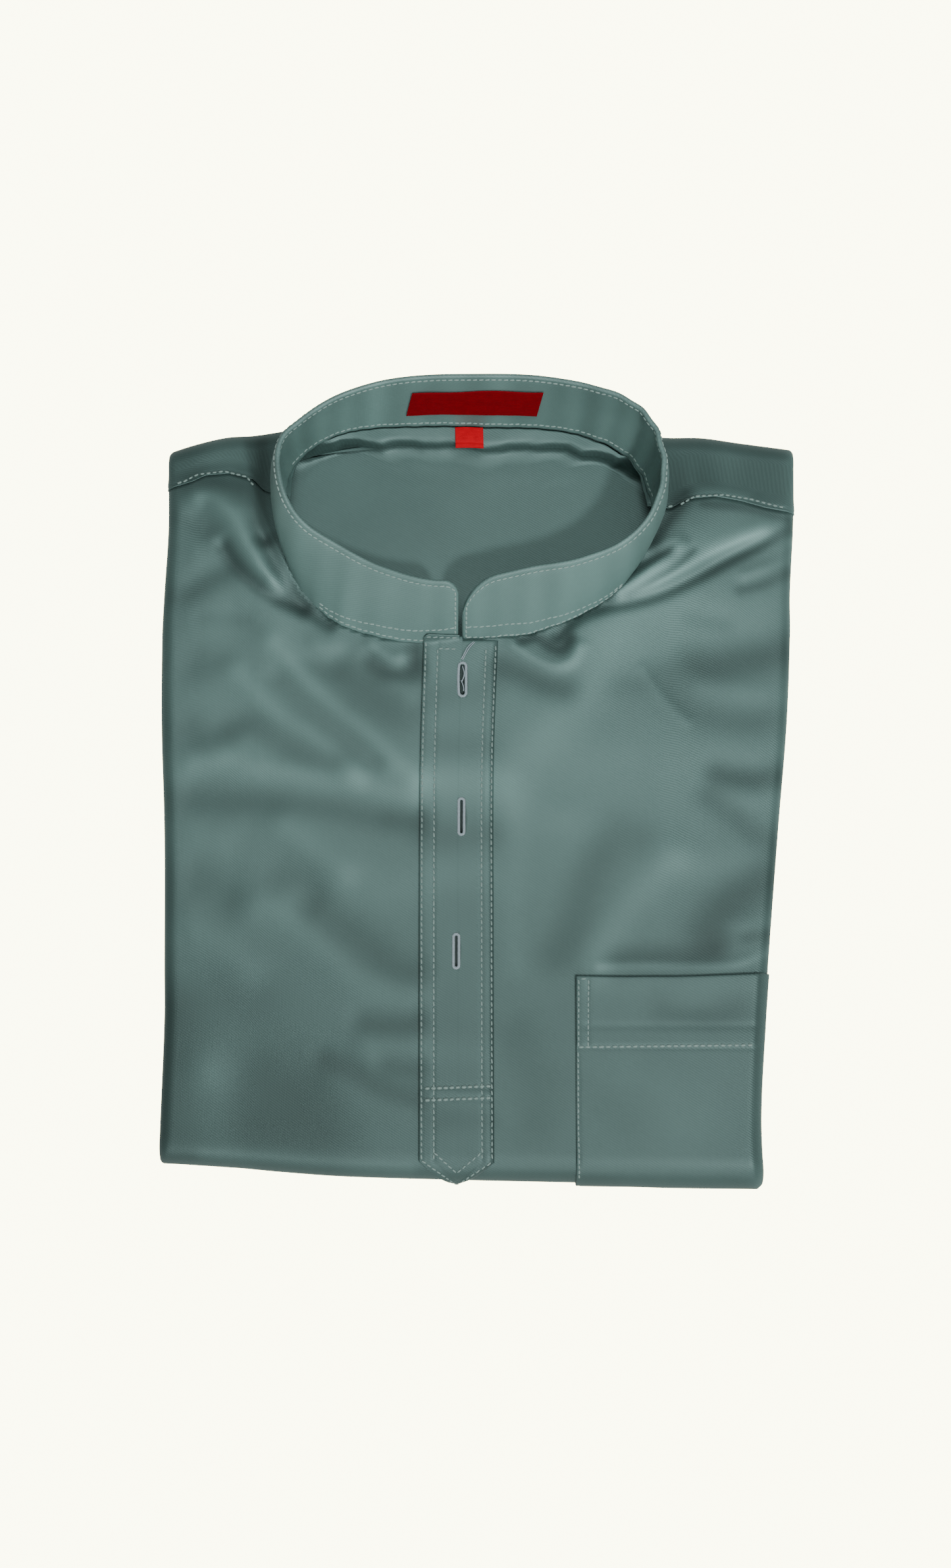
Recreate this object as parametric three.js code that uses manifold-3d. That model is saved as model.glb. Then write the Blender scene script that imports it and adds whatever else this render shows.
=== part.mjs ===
// Baju melayu shirt with a standing collar, folded into a packet and lying on its back.
// Millimetres. X runs across the packet, Y from the bottom fold to the collar, Z up.
// The origin is under the middle of the packet, on the surface that it lies on.

import * as THREE from 'three';
import { mergeVertices } from 'three/addons/utils/BufferGeometryUtils.js';
import Module from 'manifold-3d';

const wasm = await Module();
wasm.setup();

// Cloth and stacking
const CLOTH = 1.2; // wall of the shirt cloth, with its turned seam allowances
const SEAM_GAP = 0.3; // between pieces that are sewn or lie on each other
const PLACKET_CLOTH = 1.5; // folded and interlined
const LABEL_CLOTH = 0.7;

// The folded packet
const THICKNESS = 24; // at the bottom fold
const SHOULDER_THICKNESS = 20; // at the outer ends of the shoulder fold
const SHOULDER_TAPER = { from: 122, to: 146 }; // stretch of Y where the packet gets thinner
const SHOULDER_HALF = { full: 60, thin: 100 }; // distance from the neck's middle
const LIP = 9; // how far the side folds turn in underneath
const LIP_TURN = 7; // how far each turn of a side fold brings the cloth back in
const LIP_LEVEL = 13.5; // height of the front's side folds above the surface
const UNDER_ROLL = 3.5; // radius of the side folds of the underside
const FRONT_HEM_Y = 118; // edge of the front under the packet
const YOKE_UNDER = 28; // how far the yoke turns under from the shoulder fold

// Neck and collar
const NECK = { x: -6, y: 112, steps: 72 };
const NECK_RISE = { height: 4.5, y: 122, half: 84, spreadX: 18, spreadY: 28 };
const BAND_WALL = 2.2;
const BAND_TUCK = 0.9; // how far the band's lower edge sits below the cloth's face
const BAND_WIDTH = 36;
const LEFT_CORNER = { along: 8, down: 8 }; // rounding of the band's front ends
const RIGHT_CORNER = { along: 15, down: 22 };
const END_STATION_LENGTH = 16.8; // between the two stations at each end of the band

// Inside the neck
const FLOOR_LEVEL = 11; // face of the back panel seen through the neck
const FLOOR_REACH = 12; // how far it runs on under the front
const FLOOR_STEPS = 48;
const FLOOR_CLEAR = 2.5; // between it and the layers round it
const BACK_STRIP = { flat: 7, drop: 13 }; // strip below the back neck seam, then the drop

// Front opening
const PLACKET = { top: 60.6, cornerV: 3.1, tipV: 3.5, tipX: -10.3 };
const PLACKET_EDGES = [
  { y: 65, left: -25.2, right: 7.9 },
  { y: 10, left: -26.6, right: 5.9 },
  { y: -60, left: -26.8, right: 5.7 },
  { y: -175, left: -26.5, right: 5.9 },
];
const SLIT = { x: -9.5, width: 1, top: 80, bottom: -150 };
const UNDERLAP = { left: -24, right: 4, top: 59.5, bottom: -156 };

// Pocket, which turns round the right side fold and the bottom fold
const POCKET = {
  left: 41.2,
  leftTop: -84.8,
  right: 126,
  rightTop: -83.7,
  wrapU: 1.75,
  wrapV: 3 + 5 / 6,
};

// Labels, the neck label by stations of the collar and shares of the band's width
const MAIN_LABEL = { from: 10.7, to: 13.04, low: 0.28, high: 0.73 };
const SIZE_LABEL = { left: -11.4, right: 1.2, top: 160.2, bottom: 152, thickness: 0.9 };

// Layers folded inside: the heaps below and above, and the three edges seen at the sides
const HEAP = { lipClear: 0.7, underEnds: 3, upperEnds: 4, upperTop: 17.5, upperStop: 112 };
const LAYER_EDGES = [2.2, 4, 2.8]; // how far each edge stands back, from the lowest up
const LAYER_BEVEL = 0.45;
const LAYER_ENDS = 1;
const LAYER_LAP = 0.05; // each layer runs into the next one

// Side edges of the packet, without the pocket's cloth
const SIDE_EDGES = [
  { y: 170, left: -141.3, right: 142.4 },
  { y: 153, left: -141, right: 141.7 },
  { y: 118, left: -140, right: 140.4 },
  { y: 87, left: -141.3, right: 138.4 },
  { y: 68, left: -141.9, right: 138.1 },
  { y: 27, left: -141.4, right: 135.8 },
  { y: -20, left: -139.3, right: 131.2 },
  { y: -82, left: -138.1, right: 125.5 },
  { y: -104, left: -137.7, right: 123.6 },
  { y: -146, left: -138.6, right: 120.8 },
  { y: -178, left: -139.2, right: 121.6 },
];

// Shoulder fold and bottom fold
const END_EDGES = [
  { x: -142, top: 152.4, bottom: -165.6 },
  { x: -129, top: 156.7, bottom: -166.3 },
  { x: -115, top: 160, bottom: -167.2 },
  { x: -103, top: 160.8, bottom: -168 },
  { x: -88, top: 162.9, bottom: -169.4 },
  { x: -60, top: 167, bottom: -171.4 },
  { x: -10, top: 170, bottom: -172.9 },
  { x: 40, top: 168.6, bottom: -174 },
  { x: 66, top: 164.6, bottom: -174.4 },
  { x: 80, top: 160.2, bottom: -174.8 },
  { x: 100, top: 159.8, bottom: -175.1 },
  { x: 117, top: 157.4, bottom: -175.3 },
  { x: 142, top: 154, bottom: -175.8 },
];

// The band's outer face by stations, from the left front end round the back to the right
const COLLAR = [
  { base: [-9.6, 63.8], top: [-9.6, 83.5, 52], bow: 0.4 },
  { base: [-26.3, 61.8], top: [-23.5, 84, 51.5], bow: 0.8 },
  { base: [-49.6, 65.3], top: [-44.5, 91, 50.5], bow: 1 },
  { base: [-67.2, 73.3], top: [-61, 99, 52], bow: 1.4 },
  { base: [-81.5, 88.5], top: [-77, 109, 56.5], bow: 2.2 },
  { base: [-88, 107], top: [-85.5, 121, 60.5], bow: 3.4 },
  { base: [-89, 126], top: [-88.3, 135, 62.3], bow: 3.5 },
  { base: [-86.5, 140.5], top: [-86, 146.5, 62.3], bow: 2.8 },
  { base: [-79.5, 151], top: [-78, 154.4, 61], bow: 2 },
  { base: [-65, 159], top: [-62.8, 165.2, 59], bow: 1 },
  { base: [-48, 162.8], top: [-46.5, 171.5, 58], bow: 0.4 },
  { base: [-25, 163.5], top: [-24, 175, 57], bow: 0 },
  { base: [0, 163.3], top: [0, 175.8, 56.8], bow: 0 },
  { base: [25, 162.6], top: [26, 174.6, 57], bow: 0 },
  { base: [45, 159.4], top: [47, 171.2, 57.2], bow: 0.6 },
  { base: [60, 153.4], top: [63.8, 164.4, 58.5], bow: 1.4 },
  { base: [70.5, 144.3], top: [74.6, 154.4, 60.3], bow: 2.4 },
  { base: [76.2, 132], top: [79, 141, 61.8], bow: 3.2 },
  { base: [77.4, 117], top: [79.2, 125.5, 62.5], bow: 3.4 },
  { base: [72.6, 101.5], top: [73.4, 110.3, 62], bow: 2.4 },
  { base: [61.4, 86.3], top: [60.6, 98.4, 59], bow: 1.4 },
  { base: [43.8, 74.4], top: [43.2, 92.6, 55], bow: 1 },
  { base: [26.3, 67.4], top: [25.8, 90.2, 52.5], bow: 0.8 },
  { base: [9.6, 64.2], top: [9.4, 86.5, 52], bow: 0.6 },
  { base: [-7, 63.8], top: [-6.6, 83, 52], bow: 0.4 },
];

// Shoulder seams, from the packet's sides to the neck
const LEFT_SHOULDER = [
  [-150, 131],
  [-140.1, 132.6],
  [-132.8, 135],
  [-126.9, 138.3],
  [-115.1, 139.8],
  [-104.8, 136.8],
  [-100.2, 130.6],
  [-95.2, 128.6],
  [-80, 128],
];
const RIGHT_SHOULDER = [
  [70, 122],
  [81, 122.2],
  [88.4, 122.6],
  [95.8, 127.2],
  [109.1, 128.3],
  [120.8, 126.2],
  [132.6, 122.8],
  [150, 119.5],
];

// The largest folds of the front: a ridge or, with a negative height, a trough along a line
const FOLDS = [
  { line: [[-125, 130], [-111, 117], [-93, 85]], width: 8, height: 3.4 },
  { line: [[-134, 119], [-111, 101], [-91, 79]], width: 7, height: -2.2 },
  { line: [[-103, 133], [-101, 117], [-91, 89]], width: 5, height: -2.4 },
  { line: [[-91, 81], [-79, 73], [-60, 62]], width: 7, height: -1.8 },
  { line: [[-82, 42], [-63, 24], [-28, 6]], width: 9, height: 1.9 },
  { line: [[-132, 10], [-70, -1], [-30, -3]], width: 12, height: 2.2 },
  { line: [[-84, -21], [-60, -38], [-36, -50]], width: 12, height: 1.5 },
  { line: [[-93, -50], [-74, -67], [-31, -98]], width: 13, height: 1.6 },
  { line: [[50, 78], [85, 97], [136, 113]], width: 8, height: 3.2 },
  { line: [[35, 66], [65, 79], [124, 104]], width: 7, height: -2.4 },
  { line: [[20, 62], [32, 57], [42, 66]], width: 6, height: -2.2 },
  { line: [[50, 54], [26, 34], [14, 10]], width: 13, height: 2.4 },
  { line: [[66, 22], [100, 15], [136, 8]], width: 11, height: 1.6 },
  { line: [[82, -32], [60, -50], [49, -76]], width: 11, height: 2 },
  { line: [[120, -42], [95, -58], [68, -72]], width: 12, height: -1.4 },
  { line: [[50, -79], [85, -79], [122, -77]], width: 5, height: 1.3 },
];
const FOLD_STEPS = 12;

// Limits for cutting, clear of the whole shirt
const BESIDE = 150;
const BEYOND = 220;
const ABOVE = 80;

// Colours of the cloth in its light
const CLOTH_COLOUR = '#647d78';
const COLLAR_COLOUR = '#718a86';
const YOKE_COLOUR = '#54696a';
const LABEL_COLOUR = '#8c000a';
const SIZE_LABEL_COLOUR = '#e10a04';

const lerp = THREE.MathUtils.lerp;
const smooth = (x, from, to) => THREE.MathUtils.smoothstep(x, from, to);
const range = (count, from, to) =>
  Array.from({ length: count + 1 }, (_, i) => lerp(from, to, i / count));

// A column of a table as a smooth function of another column
function track(table, key, column) {
  const rows = [...table].sort((a, b) => a[key] - b[key]);
  const slope = rows.map((row, i) => {
    const before = rows[Math.max(i - 1, 0)];
    const after = rows[Math.min(i + 1, rows.length - 1)];
    return (after[column] - before[column]) / (after[key] - before[key]);
  });
  return (at) => {
    let i = rows.findIndex((row) => row[key] >= at);
    i = THREE.MathUtils.clamp(i < 0 ? rows.length - 1 : i, 1, rows.length - 1);
    const low = rows[i - 1];
    const high = rows[i];
    const span = high[key] - low[key];
    const t = THREE.MathUtils.clamp((at - low[key]) / span, 0, 1);
    const t2 = t * t;
    const t3 = t2 * t;
    return (
      (2 * t3 - 3 * t2 + 1) * low[column] +
      (t3 - 2 * t2 + t) * span * slope[i - 1] +
      (3 * t2 - 2 * t3) * high[column] +
      (t3 - t2) * span * slope[i]
    );
  };
}

const leftEdge = track(SIDE_EDGES, 'y', 'left');
const rightEdge = track(SIDE_EDGES, 'y', 'right');
const topEdge = track(END_EDGES, 'x', 'top');
const bottomEdge = track(END_EDGES, 'x', 'bottom');
const placketLeft = track(PLACKET_EDGES, 'y', 'left');
const placketRight = track(PLACKET_EDGES, 'y', 'right');

// Folds as short chains of points on a bent line
const foldChains = FOLDS.map(({ line, width, height }) => {
  const [a, b, c] = line.map(([x, y]) => new THREE.Vector2(x, y));
  const bend = b.clone().multiplyScalar(2).addScaledVector(a, -0.5).addScaledVector(c, -0.5);
  const curve = new THREE.QuadraticBezierCurve(a, bend, c);
  return { points: curve.getPoints(FOLD_STEPS), width, height };
});

function relief(x, y) {
  let sum = 0;
  for (const { points, width, height } of foldChains) {
    let nearest = Infinity;
    let along = 0;
    points.forEach((p, i) => {
      const distance = Math.hypot(p.x - x, p.y - y);
      if (distance < nearest) {
        nearest = distance;
        along = i / FOLD_STEPS;
      }
    });
    const taper = Math.sqrt(Math.max(0, 4 * along * (1 - along))) * 0.75 + 0.25;
    sum += height * taper * Math.exp(-((nearest / width) ** 2));
  }
  return sum;
}

// Thickness of the packet at its shoulder fold, and all over
function endThickness(x) {
  const away = Math.abs(x - NECK.x);
  return lerp(THICKNESS, SHOULDER_THICKNESS, smooth(away, SHOULDER_HALF.full, SHOULDER_HALF.thin));
}

function faceHeight(x, y) {
  return lerp(THICKNESS, endThickness(x), smooth(y, SHOULDER_TAPER.from, SHOULDER_TAPER.to));
}

// Where the flat face starts behind the shoulder fold and ends before the bottom fold
const faceStart = (x) => topEdge(x) - endThickness(x) / 2;
const faceEnd = (x) => bottomEdge(x) + THICKNESS / 2;

// Height of the packet's upper face, with its folds and the rise beside the collar
function faceTop(x, y) {
  const sides = smooth(x - leftEdge(y), 5.5, 17) * smooth(rightEdge(y) - x, 5.5, 17);
  const ends = smooth(faceStart(x) - y, 0, 12) * smooth(y - faceEnd(x), 0, 12);
  const acrossNeck = (Math.abs(x - NECK.x) - NECK_RISE.half) / NECK_RISE.spreadX;
  const alongNeck = (y - NECK_RISE.y) / NECK_RISE.spreadY;
  const rise = NECK_RISE.height * Math.exp(-(acrossNeck ** 2) - alongNeck ** 2);
  return faceHeight(x, y) + sides * ends * (relief(x, y) + rise);
}

// The way round the packet in side view: v = 0 to 1 under the yoke, to 2 round the shoulder
// fold, to 3 down the face, to 4 round the bottom fold and to 5 along the underside.
function alongPoint(v, x, depth, level = faceTop) {
  const start = faceStart(x);
  const end = faceEnd(x);
  const topRadius = endThickness(x) / 2;
  const bottomRadius = THICKNESS / 2;
  if (v <= 1) {
    return [lerp(topEdge(x) - YOKE_UNDER, start, v), depth];
  }
  if (v <= 2) {
    const angle = Math.PI * (v - 1.5);
    const radius = topRadius - depth;
    return [start + radius * Math.cos(angle), topRadius + radius * Math.sin(angle)];
  }
  if (v <= 3) {
    const y = lerp(start, end, v - 2);
    return [y, level(x, y) - depth];
  }
  if (v <= 4) {
    const angle = Math.PI * (v - 2.5);
    const radius = bottomRadius - depth;
    return [end + radius * Math.cos(angle), bottomRadius + radius * Math.sin(angle)];
  }
  return [lerp(end, FRONT_HEM_Y, v - 4), depth];
}

function sideRadius(v, edge, y) {
  const shoulder = (endThickness(edge) - LIP_LEVEL) / 2;
  const bottom = (THICKNESS - LIP_LEVEL) / 2;
  if (v <= 2) {
    return lerp(UNDER_ROLL, shoulder, THREE.MathUtils.clamp(v - 1, 0, 1));
  }
  if (v <= 3) {
    return (faceHeight(edge, y) - LIP_LEVEL) / 2;
  }
  return lerp(bottom, UNDER_ROLL, THREE.MathUtils.clamp(v - 3, 0, 1));
}

function widthAt(v, nearX) {
  const [y] = alongPoint(v, nearX, 0);
  const left = leftEdge(y);
  const right = rightEdge(y);
  const leftRadius = sideRadius(v, left, y);
  const rightRadius = sideRadius(v, right, y);
  return { left, right, leftRadius, rightRadius };
}

// A point of the cloth. u = 0 to 1 crosses the face, -1 and 2 end the side folds, and -2 and
// 3 end the turned-in lips. out lifts the point off the face, and is negative inside the cloth.
function clothPoint(u, v, out = 0) {
  const onLeft = u < 0.5;
  const across = lerp(leftEdge(0), rightEdge(0), THREE.MathUtils.clamp(u, 0, 1));
  const nearX = across + LIP_TURN * (Math.max(0, -u) - Math.max(0, u - 1));
  const { left, right, leftRadius, rightRadius } = widthAt(v, nearX);
  const radius = onLeft ? leftRadius : rightRadius;
  const past = onLeft ? -u : u - 1;
  let fromEdge;
  let depth = -out;
  if (past > 1) {
    fromEdge = radius + LIP * (past - 1);
    depth = 2 * radius + out;
  } else if (past > 0) {
    const angle = Math.PI * (0.5 + past);
    fromEdge = radius + (radius + out) * Math.cos(angle);
    depth = radius - (radius + out) * Math.sin(angle);
  }
  let x = lerp(left + leftRadius, right - rightRadius, u);
  if (past > 0) {
    x = onLeft ? left + fromEdge : right - fromEdge;
  }
  const [y, z] = alongPoint(v, x, depth, past > 0 ? faceHeight : faceTop);
  return new THREE.Vector3(x, y, z);
}

// The same cloth by X on its face, for what is sewn on
function shareAcross(x, v) {
  const { left, right, leftRadius, rightRadius } = widthAt(v, x);
  return (x - left - leftRadius) / (right - rightRadius - left - leftRadius);
}

const facePoint = (x, v, out) => clothPoint(shareAcross(x, v), v, out);

const faceV = (x, y) => 2 + (faceStart(x) - y) / (faceStart(x) - faceEnd(x));

// Closed mesh from points and triangles: merged, without empty faces, facing out
function closedGeometry(points, index) {
  const raw = new THREE.BufferGeometry().setFromPoints(points);
  raw.setIndex(index);
  const merged = mergeVertices(raw, 1e-4);
  const ids = merged.index.array;
  const kept = [];
  for (let i = 0; i < ids.length; i += 3) {
    const [a, b, c] = [ids[i], ids[i + 1], ids[i + 2]];
    if (a !== b && b !== c && c !== a) {
      kept.push(a, b, c);
    }
  }
  const at = (i) => new THREE.Vector3().fromBufferAttribute(merged.attributes.position, i);
  let volume = 0;
  for (let i = 0; i < kept.length; i += 3) {
    volume += at(kept[i]).dot(at(kept[i + 1]).cross(at(kept[i + 2])));
  }
  merged.setIndex(volume < 0 ? kept.reverse() : kept);
  return merged;
}

// A wall between two grids of points. round joins the last column to the first.
function wall(outer, inner, round = false) {
  const rows = outer.length;
  const columns = outer[0].length;
  const index = [];
  const outerAt = (j, i) => j * columns + i;
  const innerAt = (j, i) => rows * columns + j * columns + i;
  const quad = (a, b, c, d) => index.push(a, b, c, a, c, d);
  for (let j = 0; j < rows - 1; j++) {
    for (let i = 0; i < columns - 1; i++) {
      quad(outerAt(j, i), outerAt(j, i + 1), outerAt(j + 1, i + 1), outerAt(j + 1, i));
      quad(innerAt(j, i), innerAt(j + 1, i), innerAt(j + 1, i + 1), innerAt(j, i + 1));
    }
  }
  for (let i = 0; i < columns - 1; i++) {
    const last = rows - 1;
    quad(outerAt(0, i + 1), outerAt(0, i), innerAt(0, i), innerAt(0, i + 1));
    quad(outerAt(last, i), outerAt(last, i + 1), innerAt(last, i + 1), innerAt(last, i));
  }
  if (!round) {
    for (let j = 0; j < rows - 1; j++) {
      const last = columns - 1;
      quad(outerAt(j, 0), outerAt(j + 1, 0), innerAt(j + 1, 0), innerAt(j, 0));
      quad(outerAt(j + 1, last), outerAt(j, last), innerAt(j, last), innerAt(j + 1, last));
    }
  }
  return closedGeometry([...outer.flat(), ...inner.flat()], index);
}

// The wall of cloth over rows of v and columns of u
function clothWall(vs, us, point, low, high) {
  const grid = (out) => vs.map((v) => us.map((u) => point(u, v, out)));
  return wall(grid(high), grid(low));
}

function toSolid(geometry) {
  const plain = geometry.clone();
  plain.deleteAttribute('normal');
  plain.deleteAttribute('uv');
  const merged = mergeVertices(plain, 1e-4);
  const mesh = new wasm.Mesh({
    numProp: 3,
    vertProperties: new Float32Array(merged.attributes.position.array),
    triVerts: new Uint32Array(merged.index.array),
  });
  return new wasm.Manifold(mesh);
}

function fromSolid(solid) {
  const { vertProperties, triVerts } = solid.getMesh();
  const geometry = new THREE.BufferGeometry();
  geometry.setAttribute('position', new THREE.BufferAttribute(vertProperties, 3));
  geometry.setIndex(new THREE.BufferAttribute(triVerts, 1));
  return geometry;
}

// An upright prism on an outline, from one height to another
function prism(outline, low, high) {
  const shape = new THREE.Shape(outline.map(([x, y]) => new THREE.Vector2(x, y)));
  const geometry = new THREE.ExtrudeGeometry(shape, { depth: high - low, bevelEnabled: false });
  return toSolid(geometry.translate(0, 0, low));
}

// The collar band by stations and by its share of the width
const bandBase = new THREE.CatmullRomCurve3(
  COLLAR.map(({ base: [x, y], bow }) => new THREE.Vector3(x, y, bow)),
);
const bandTop = new THREE.CatmullRomCurve3(COLLAR.map(({ top }) => new THREE.Vector3(...top)));
const LAST_STATION = COLLAR.length - 1;

function bandOutward(station) {
  const t = THREE.MathUtils.clamp(station / LAST_STATION, 0, 1);
  const along = bandBase.getTangent(t).setZ(0).normalize();
  return new THREE.Vector3(along.y, -along.x, 0).negate();
}

function bandFace(station, share) {
  const t = THREE.MathUtils.clamp(station / LAST_STATION, 0, 1);
  const base = bandBase.getPoint(t);
  const bow = base.z;
  base.z = faceTop(base.x, base.y) - BAND_TUCK;
  const point = base.lerp(bandTop.getPoint(t), share);
  return point.addScaledVector(bandOutward(station), bow * 4 * share * (1 - share));
}

function bandPoint(station, share, inset = 0) {
  const step = 0.02;
  const a = bandFace(station - step, share);
  const b = bandFace(station + step, share);
  const c = bandFace(station, share - step);
  const d = bandFace(station, share + step);
  const normal = b.sub(a).cross(d.sub(c)).normalize();
  if (normal.dot(bandOutward(station)) < 0) {
    normal.negate();
  }
  return bandFace(station, share).addScaledVector(normal, -inset);
}

// The band's full width is rounded off at its two front ends
function bandShare(station) {
  const round = (distance, { along, down }) => {
    const out = THREE.MathUtils.clamp(1 - distance / along, 0, 1);
    return (down / BAND_WIDTH) * (1 - Math.sqrt(1 - out * out));
  };
  const left = round(station * END_STATION_LENGTH, LEFT_CORNER);
  const right = round((LAST_STATION - station) * END_STATION_LENGTH, RIGHT_CORNER);
  return 1 - left - right;
}

// The neck's outline, offset outwards by a distance that may change with the station
function neckLoop(count, offset) {
  return range(count, 0, LAST_STATION).map((station) => {
    const p = bandPoint(station, 0).addScaledVector(bandOutward(station), offset(station));
    return [p.x, p.y];
  });
}

// How far the band stands outside its own lower edge just above the cloth
function bandReach(station) {
  const low = bandPoint(station, 0);
  const high = bandPoint(station, 0.06);
  return Math.max(0, high.sub(low).dot(bandOutward(station)));
}

const neckHole = prism(neckLoop(NECK.steps, (s) => bandReach(s) + SEAM_GAP), FLOOR_LEVEL, ABOVE);

const shoulderLine = [...LEFT_SHOULDER, ...RIGHT_SHOULDER];
const seamLine = shoulderLine.map(([x, y]) => [x, y + SEAM_GAP]);
const aboveUnderside = 2 * UNDER_ROLL + LAYER_LAP;
const behindShoulders = prism(
  [...shoulderLine, [BESIDE, BEYOND], [-BESIDE, BEYOND]],
  aboveUnderside,
  ABOVE,
);
const beforeShoulders = prism(
  [...seamLine, [BESIDE, -BEYOND], [-BESIDE, -BEYOND]].reverse(),
  aboveUnderside,
  ABOVE,
);

// Rows of the front, which the pieces sewn on it share
const FRONT_ROWS = [
  ...range(17, 2, 2.44),
  ...range(12, 2.44, 3).slice(1),
  ...range(6, 3, 4).slice(1),
  ...range(4, 4, 5).slice(1),
];
const LEAST_ROW = 0.012;

function rowsBetween(from, to) {
  const inside = FRONT_ROWS.filter((v) => v > from + LEAST_ROW && v < to - LEAST_ROW);
  return [from, ...inside, to];
}

const rollColumns = range(4, 0, 1);
const sideColumns = (face) => [
  -2,
  ...rollColumns.map((t) => t - 1),
  ...face,
  ...rollColumns.map((t) => t + 1),
  3,
];

function frontBody() {
  const columns = sideColumns(range(25, 0, 1).slice(1, -1));
  const cloth = toSolid(clothWall(FRONT_ROWS, columns, clothPoint, -CLOTH, 0));
  const { x, width, top, bottom } = SLIT;
  const [left, right] = [x - width / 2, x + width / 2];
  const slit = prism([[left, bottom], [right, bottom], [right, top], [left, top]], LIP_LEVEL, ABOVE);
  return fromSolid(cloth.subtract(neckHole).subtract(behindShoulders).subtract(slit));
}

function yoke() {
  const rows = [...range(1, 0, 1), ...range(7, 1, 2).slice(1), ...range(6, 2, 2.14).slice(1)];
  const columns = sideColumns(range(22, 0, 1).slice(1, -1));
  const cloth = toSolid(clothWall(rows, columns, clothPoint, -CLOTH, 0));
  return fromSolid(cloth.subtract(neckHole).subtract(beforeShoulders));
}

function collarBand() {
  const ends = [0, 0.04, 0.12, 0.24, 0.38, 0.6, 0.85];
  const middle = range(44, 1, LAST_STATION - 1);
  const stations = [...ends, ...middle, ...ends.map((s) => LAST_STATION - s).reverse()];
  const shares = range(4, 0, 1);
  const grid = (inset) =>
    stations.map((s) => shares.map((f) => bandPoint(s, f * bandShare(s), inset)));
  return wall(grid(0), grid(BAND_WALL));
}

// 1 where the back neck seam holds the back panel up, 0 at the sides and the front
const heldBack = (station) => smooth(station, 6.6, 8.6) * (1 - smooth(station, 15.8, 17.8));

function floorReach(station) {
  const inside = -BAND_WALL - SEAM_GAP;
  return lerp(FLOOR_REACH, inside, smooth(heldBack(station), 0, 0.5));
}

function backBody() {
  const rim = neckLoop(FLOOR_STEPS, floorReach);
  rim.push(rim[0]);
  const centre = new THREE.Vector2(NECK.x, NECK.y);
  const inward = [0, 3.5, BACK_STRIP.flat, 9, 11, BACK_STRIP.drop, 28, Infinity];
  const grid = (drop) =>
    inward.map((distance) =>
      rim.map(([x, y], i) => {
        const edge = new THREE.Vector2(x, y);
        const reach = edge.distanceTo(centre);
        const station = (Math.min(i, FLOOR_STEPS) / FLOOR_STEPS) * LAST_STATION;
        const p = edge.lerp(centre, Math.min(1, distance / reach));
        const share = 1 - smooth(distance, BACK_STRIP.flat, BACK_STRIP.drop);
        const top = faceHeight(x, y) - BAND_TUCK - FLOOR_LEVEL;
        return new THREE.Vector3(p.x, p.y, FLOOR_LEVEL + top * heldBack(station) * share - drop);
      }),
    );
  return wall(grid(0), grid(CLOTH), true);
}

function placket() {
  const rows = rowsBetween(faceV(PLACKET.tipX, PLACKET.top), PLACKET.cornerV);
  const tip = range(4, PLACKET.cornerV, PLACKET.tipV).slice(1);
  const point = (u, v, out) => {
    const [y] = alongPoint(v, PLACKET.tipX, 0);
    const narrow = THREE.MathUtils.clamp(
      (v - PLACKET.cornerV) / (PLACKET.tipV - PLACKET.cornerV),
      0,
      0.96,
    );
    const left = lerp(placketLeft(y), PLACKET.tipX, narrow);
    const right = lerp(placketRight(y), PLACKET.tipX, narrow);
    return facePoint(lerp(left, right, u), v, out);
  };
  const high = SEAM_GAP + PLACKET_CLOTH;
  return clothWall([...rows, ...tip], range(4, 0, 1), point, SEAM_GAP, high);
}

function placketUnder() {
  const { left, right, top, bottom } = UNDERLAP;
  const rows = rowsBetween(faceV(SLIT.x, top), faceV(SLIT.x, bottom));
  const high = -CLOTH - SEAM_GAP;
  return clothWall(rows, range(4, left, right), facePoint, high - CLOTH, high);
}

function pocket() {
  const { left, leftTop, right, rightTop, wrapU, wrapV } = POCKET;
  const atLeft = faceV(left, leftTop);
  const atRight = faceV(right, rightTop);
  const rows = rowsBetween(Math.min(atLeft, atRight), wrapV);
  const point = (u, row, out) => {
    const v = Math.max(row, lerp(atLeft, atRight, Math.min(u, 1)));
    if (u > 1) {
      return clothPoint(u, v, out);
    }
    return clothPoint(lerp(shareAcross(left, v), 1, u), v, out);
  };
  const columns = [...range(7, 0, 1), ...range(3, 1, wrapU).slice(1)];
  return clothWall(rows, columns, point, SEAM_GAP, SEAM_GAP + CLOTH);
}

function mainLabel() {
  const { from, to, low, high } = MAIN_LABEL;
  const point = (f, s, out) => bandPoint(s, f, BAND_WALL + SEAM_GAP + out);
  return clothWall(range(8, from, to), range(2, low, high), point, 0, LABEL_CLOTH);
}

function sizeLabel() {
  const { left, right, top, bottom, thickness } = SIZE_LABEL;
  const level = (y) => faceHeight(0, y) - BAND_TUCK + SEAM_GAP;
  const point = (x, y, out) => new THREE.Vector3(x, y, level(y) + out);
  return clothWall(range(3, top, bottom), range(2, left, right), point, 0, thickness);
}

// Outline of a hidden layer, inside the packet's sides and ends
function layerOutline(side, ends, stop = Infinity) {
  const low = (x) => faceEnd(x) + ends;
  const high = (x) => Math.min(faceStart(x) - ends, stop);
  const leftX = leftEdge(0) + side;
  const rightX = rightEdge(0) - side;
  const across = range(10, 0, 1).slice(1, -1);
  const right = range(8, low(rightX - side), high(rightX + side));
  const left = range(8, high(leftX), low(leftX));
  return [
    ...across.map((t) => lerp(leftX, rightX, t)).map((x) => [x, low(x)]),
    ...right.map((y) => [rightEdge(y) - side, y]),
    ...across.map((t) => lerp(rightX, leftX, t)).map((x) => [x, high(x)]),
    ...left.map((y) => [leftEdge(y) + side, y]),
  ];
}

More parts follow.
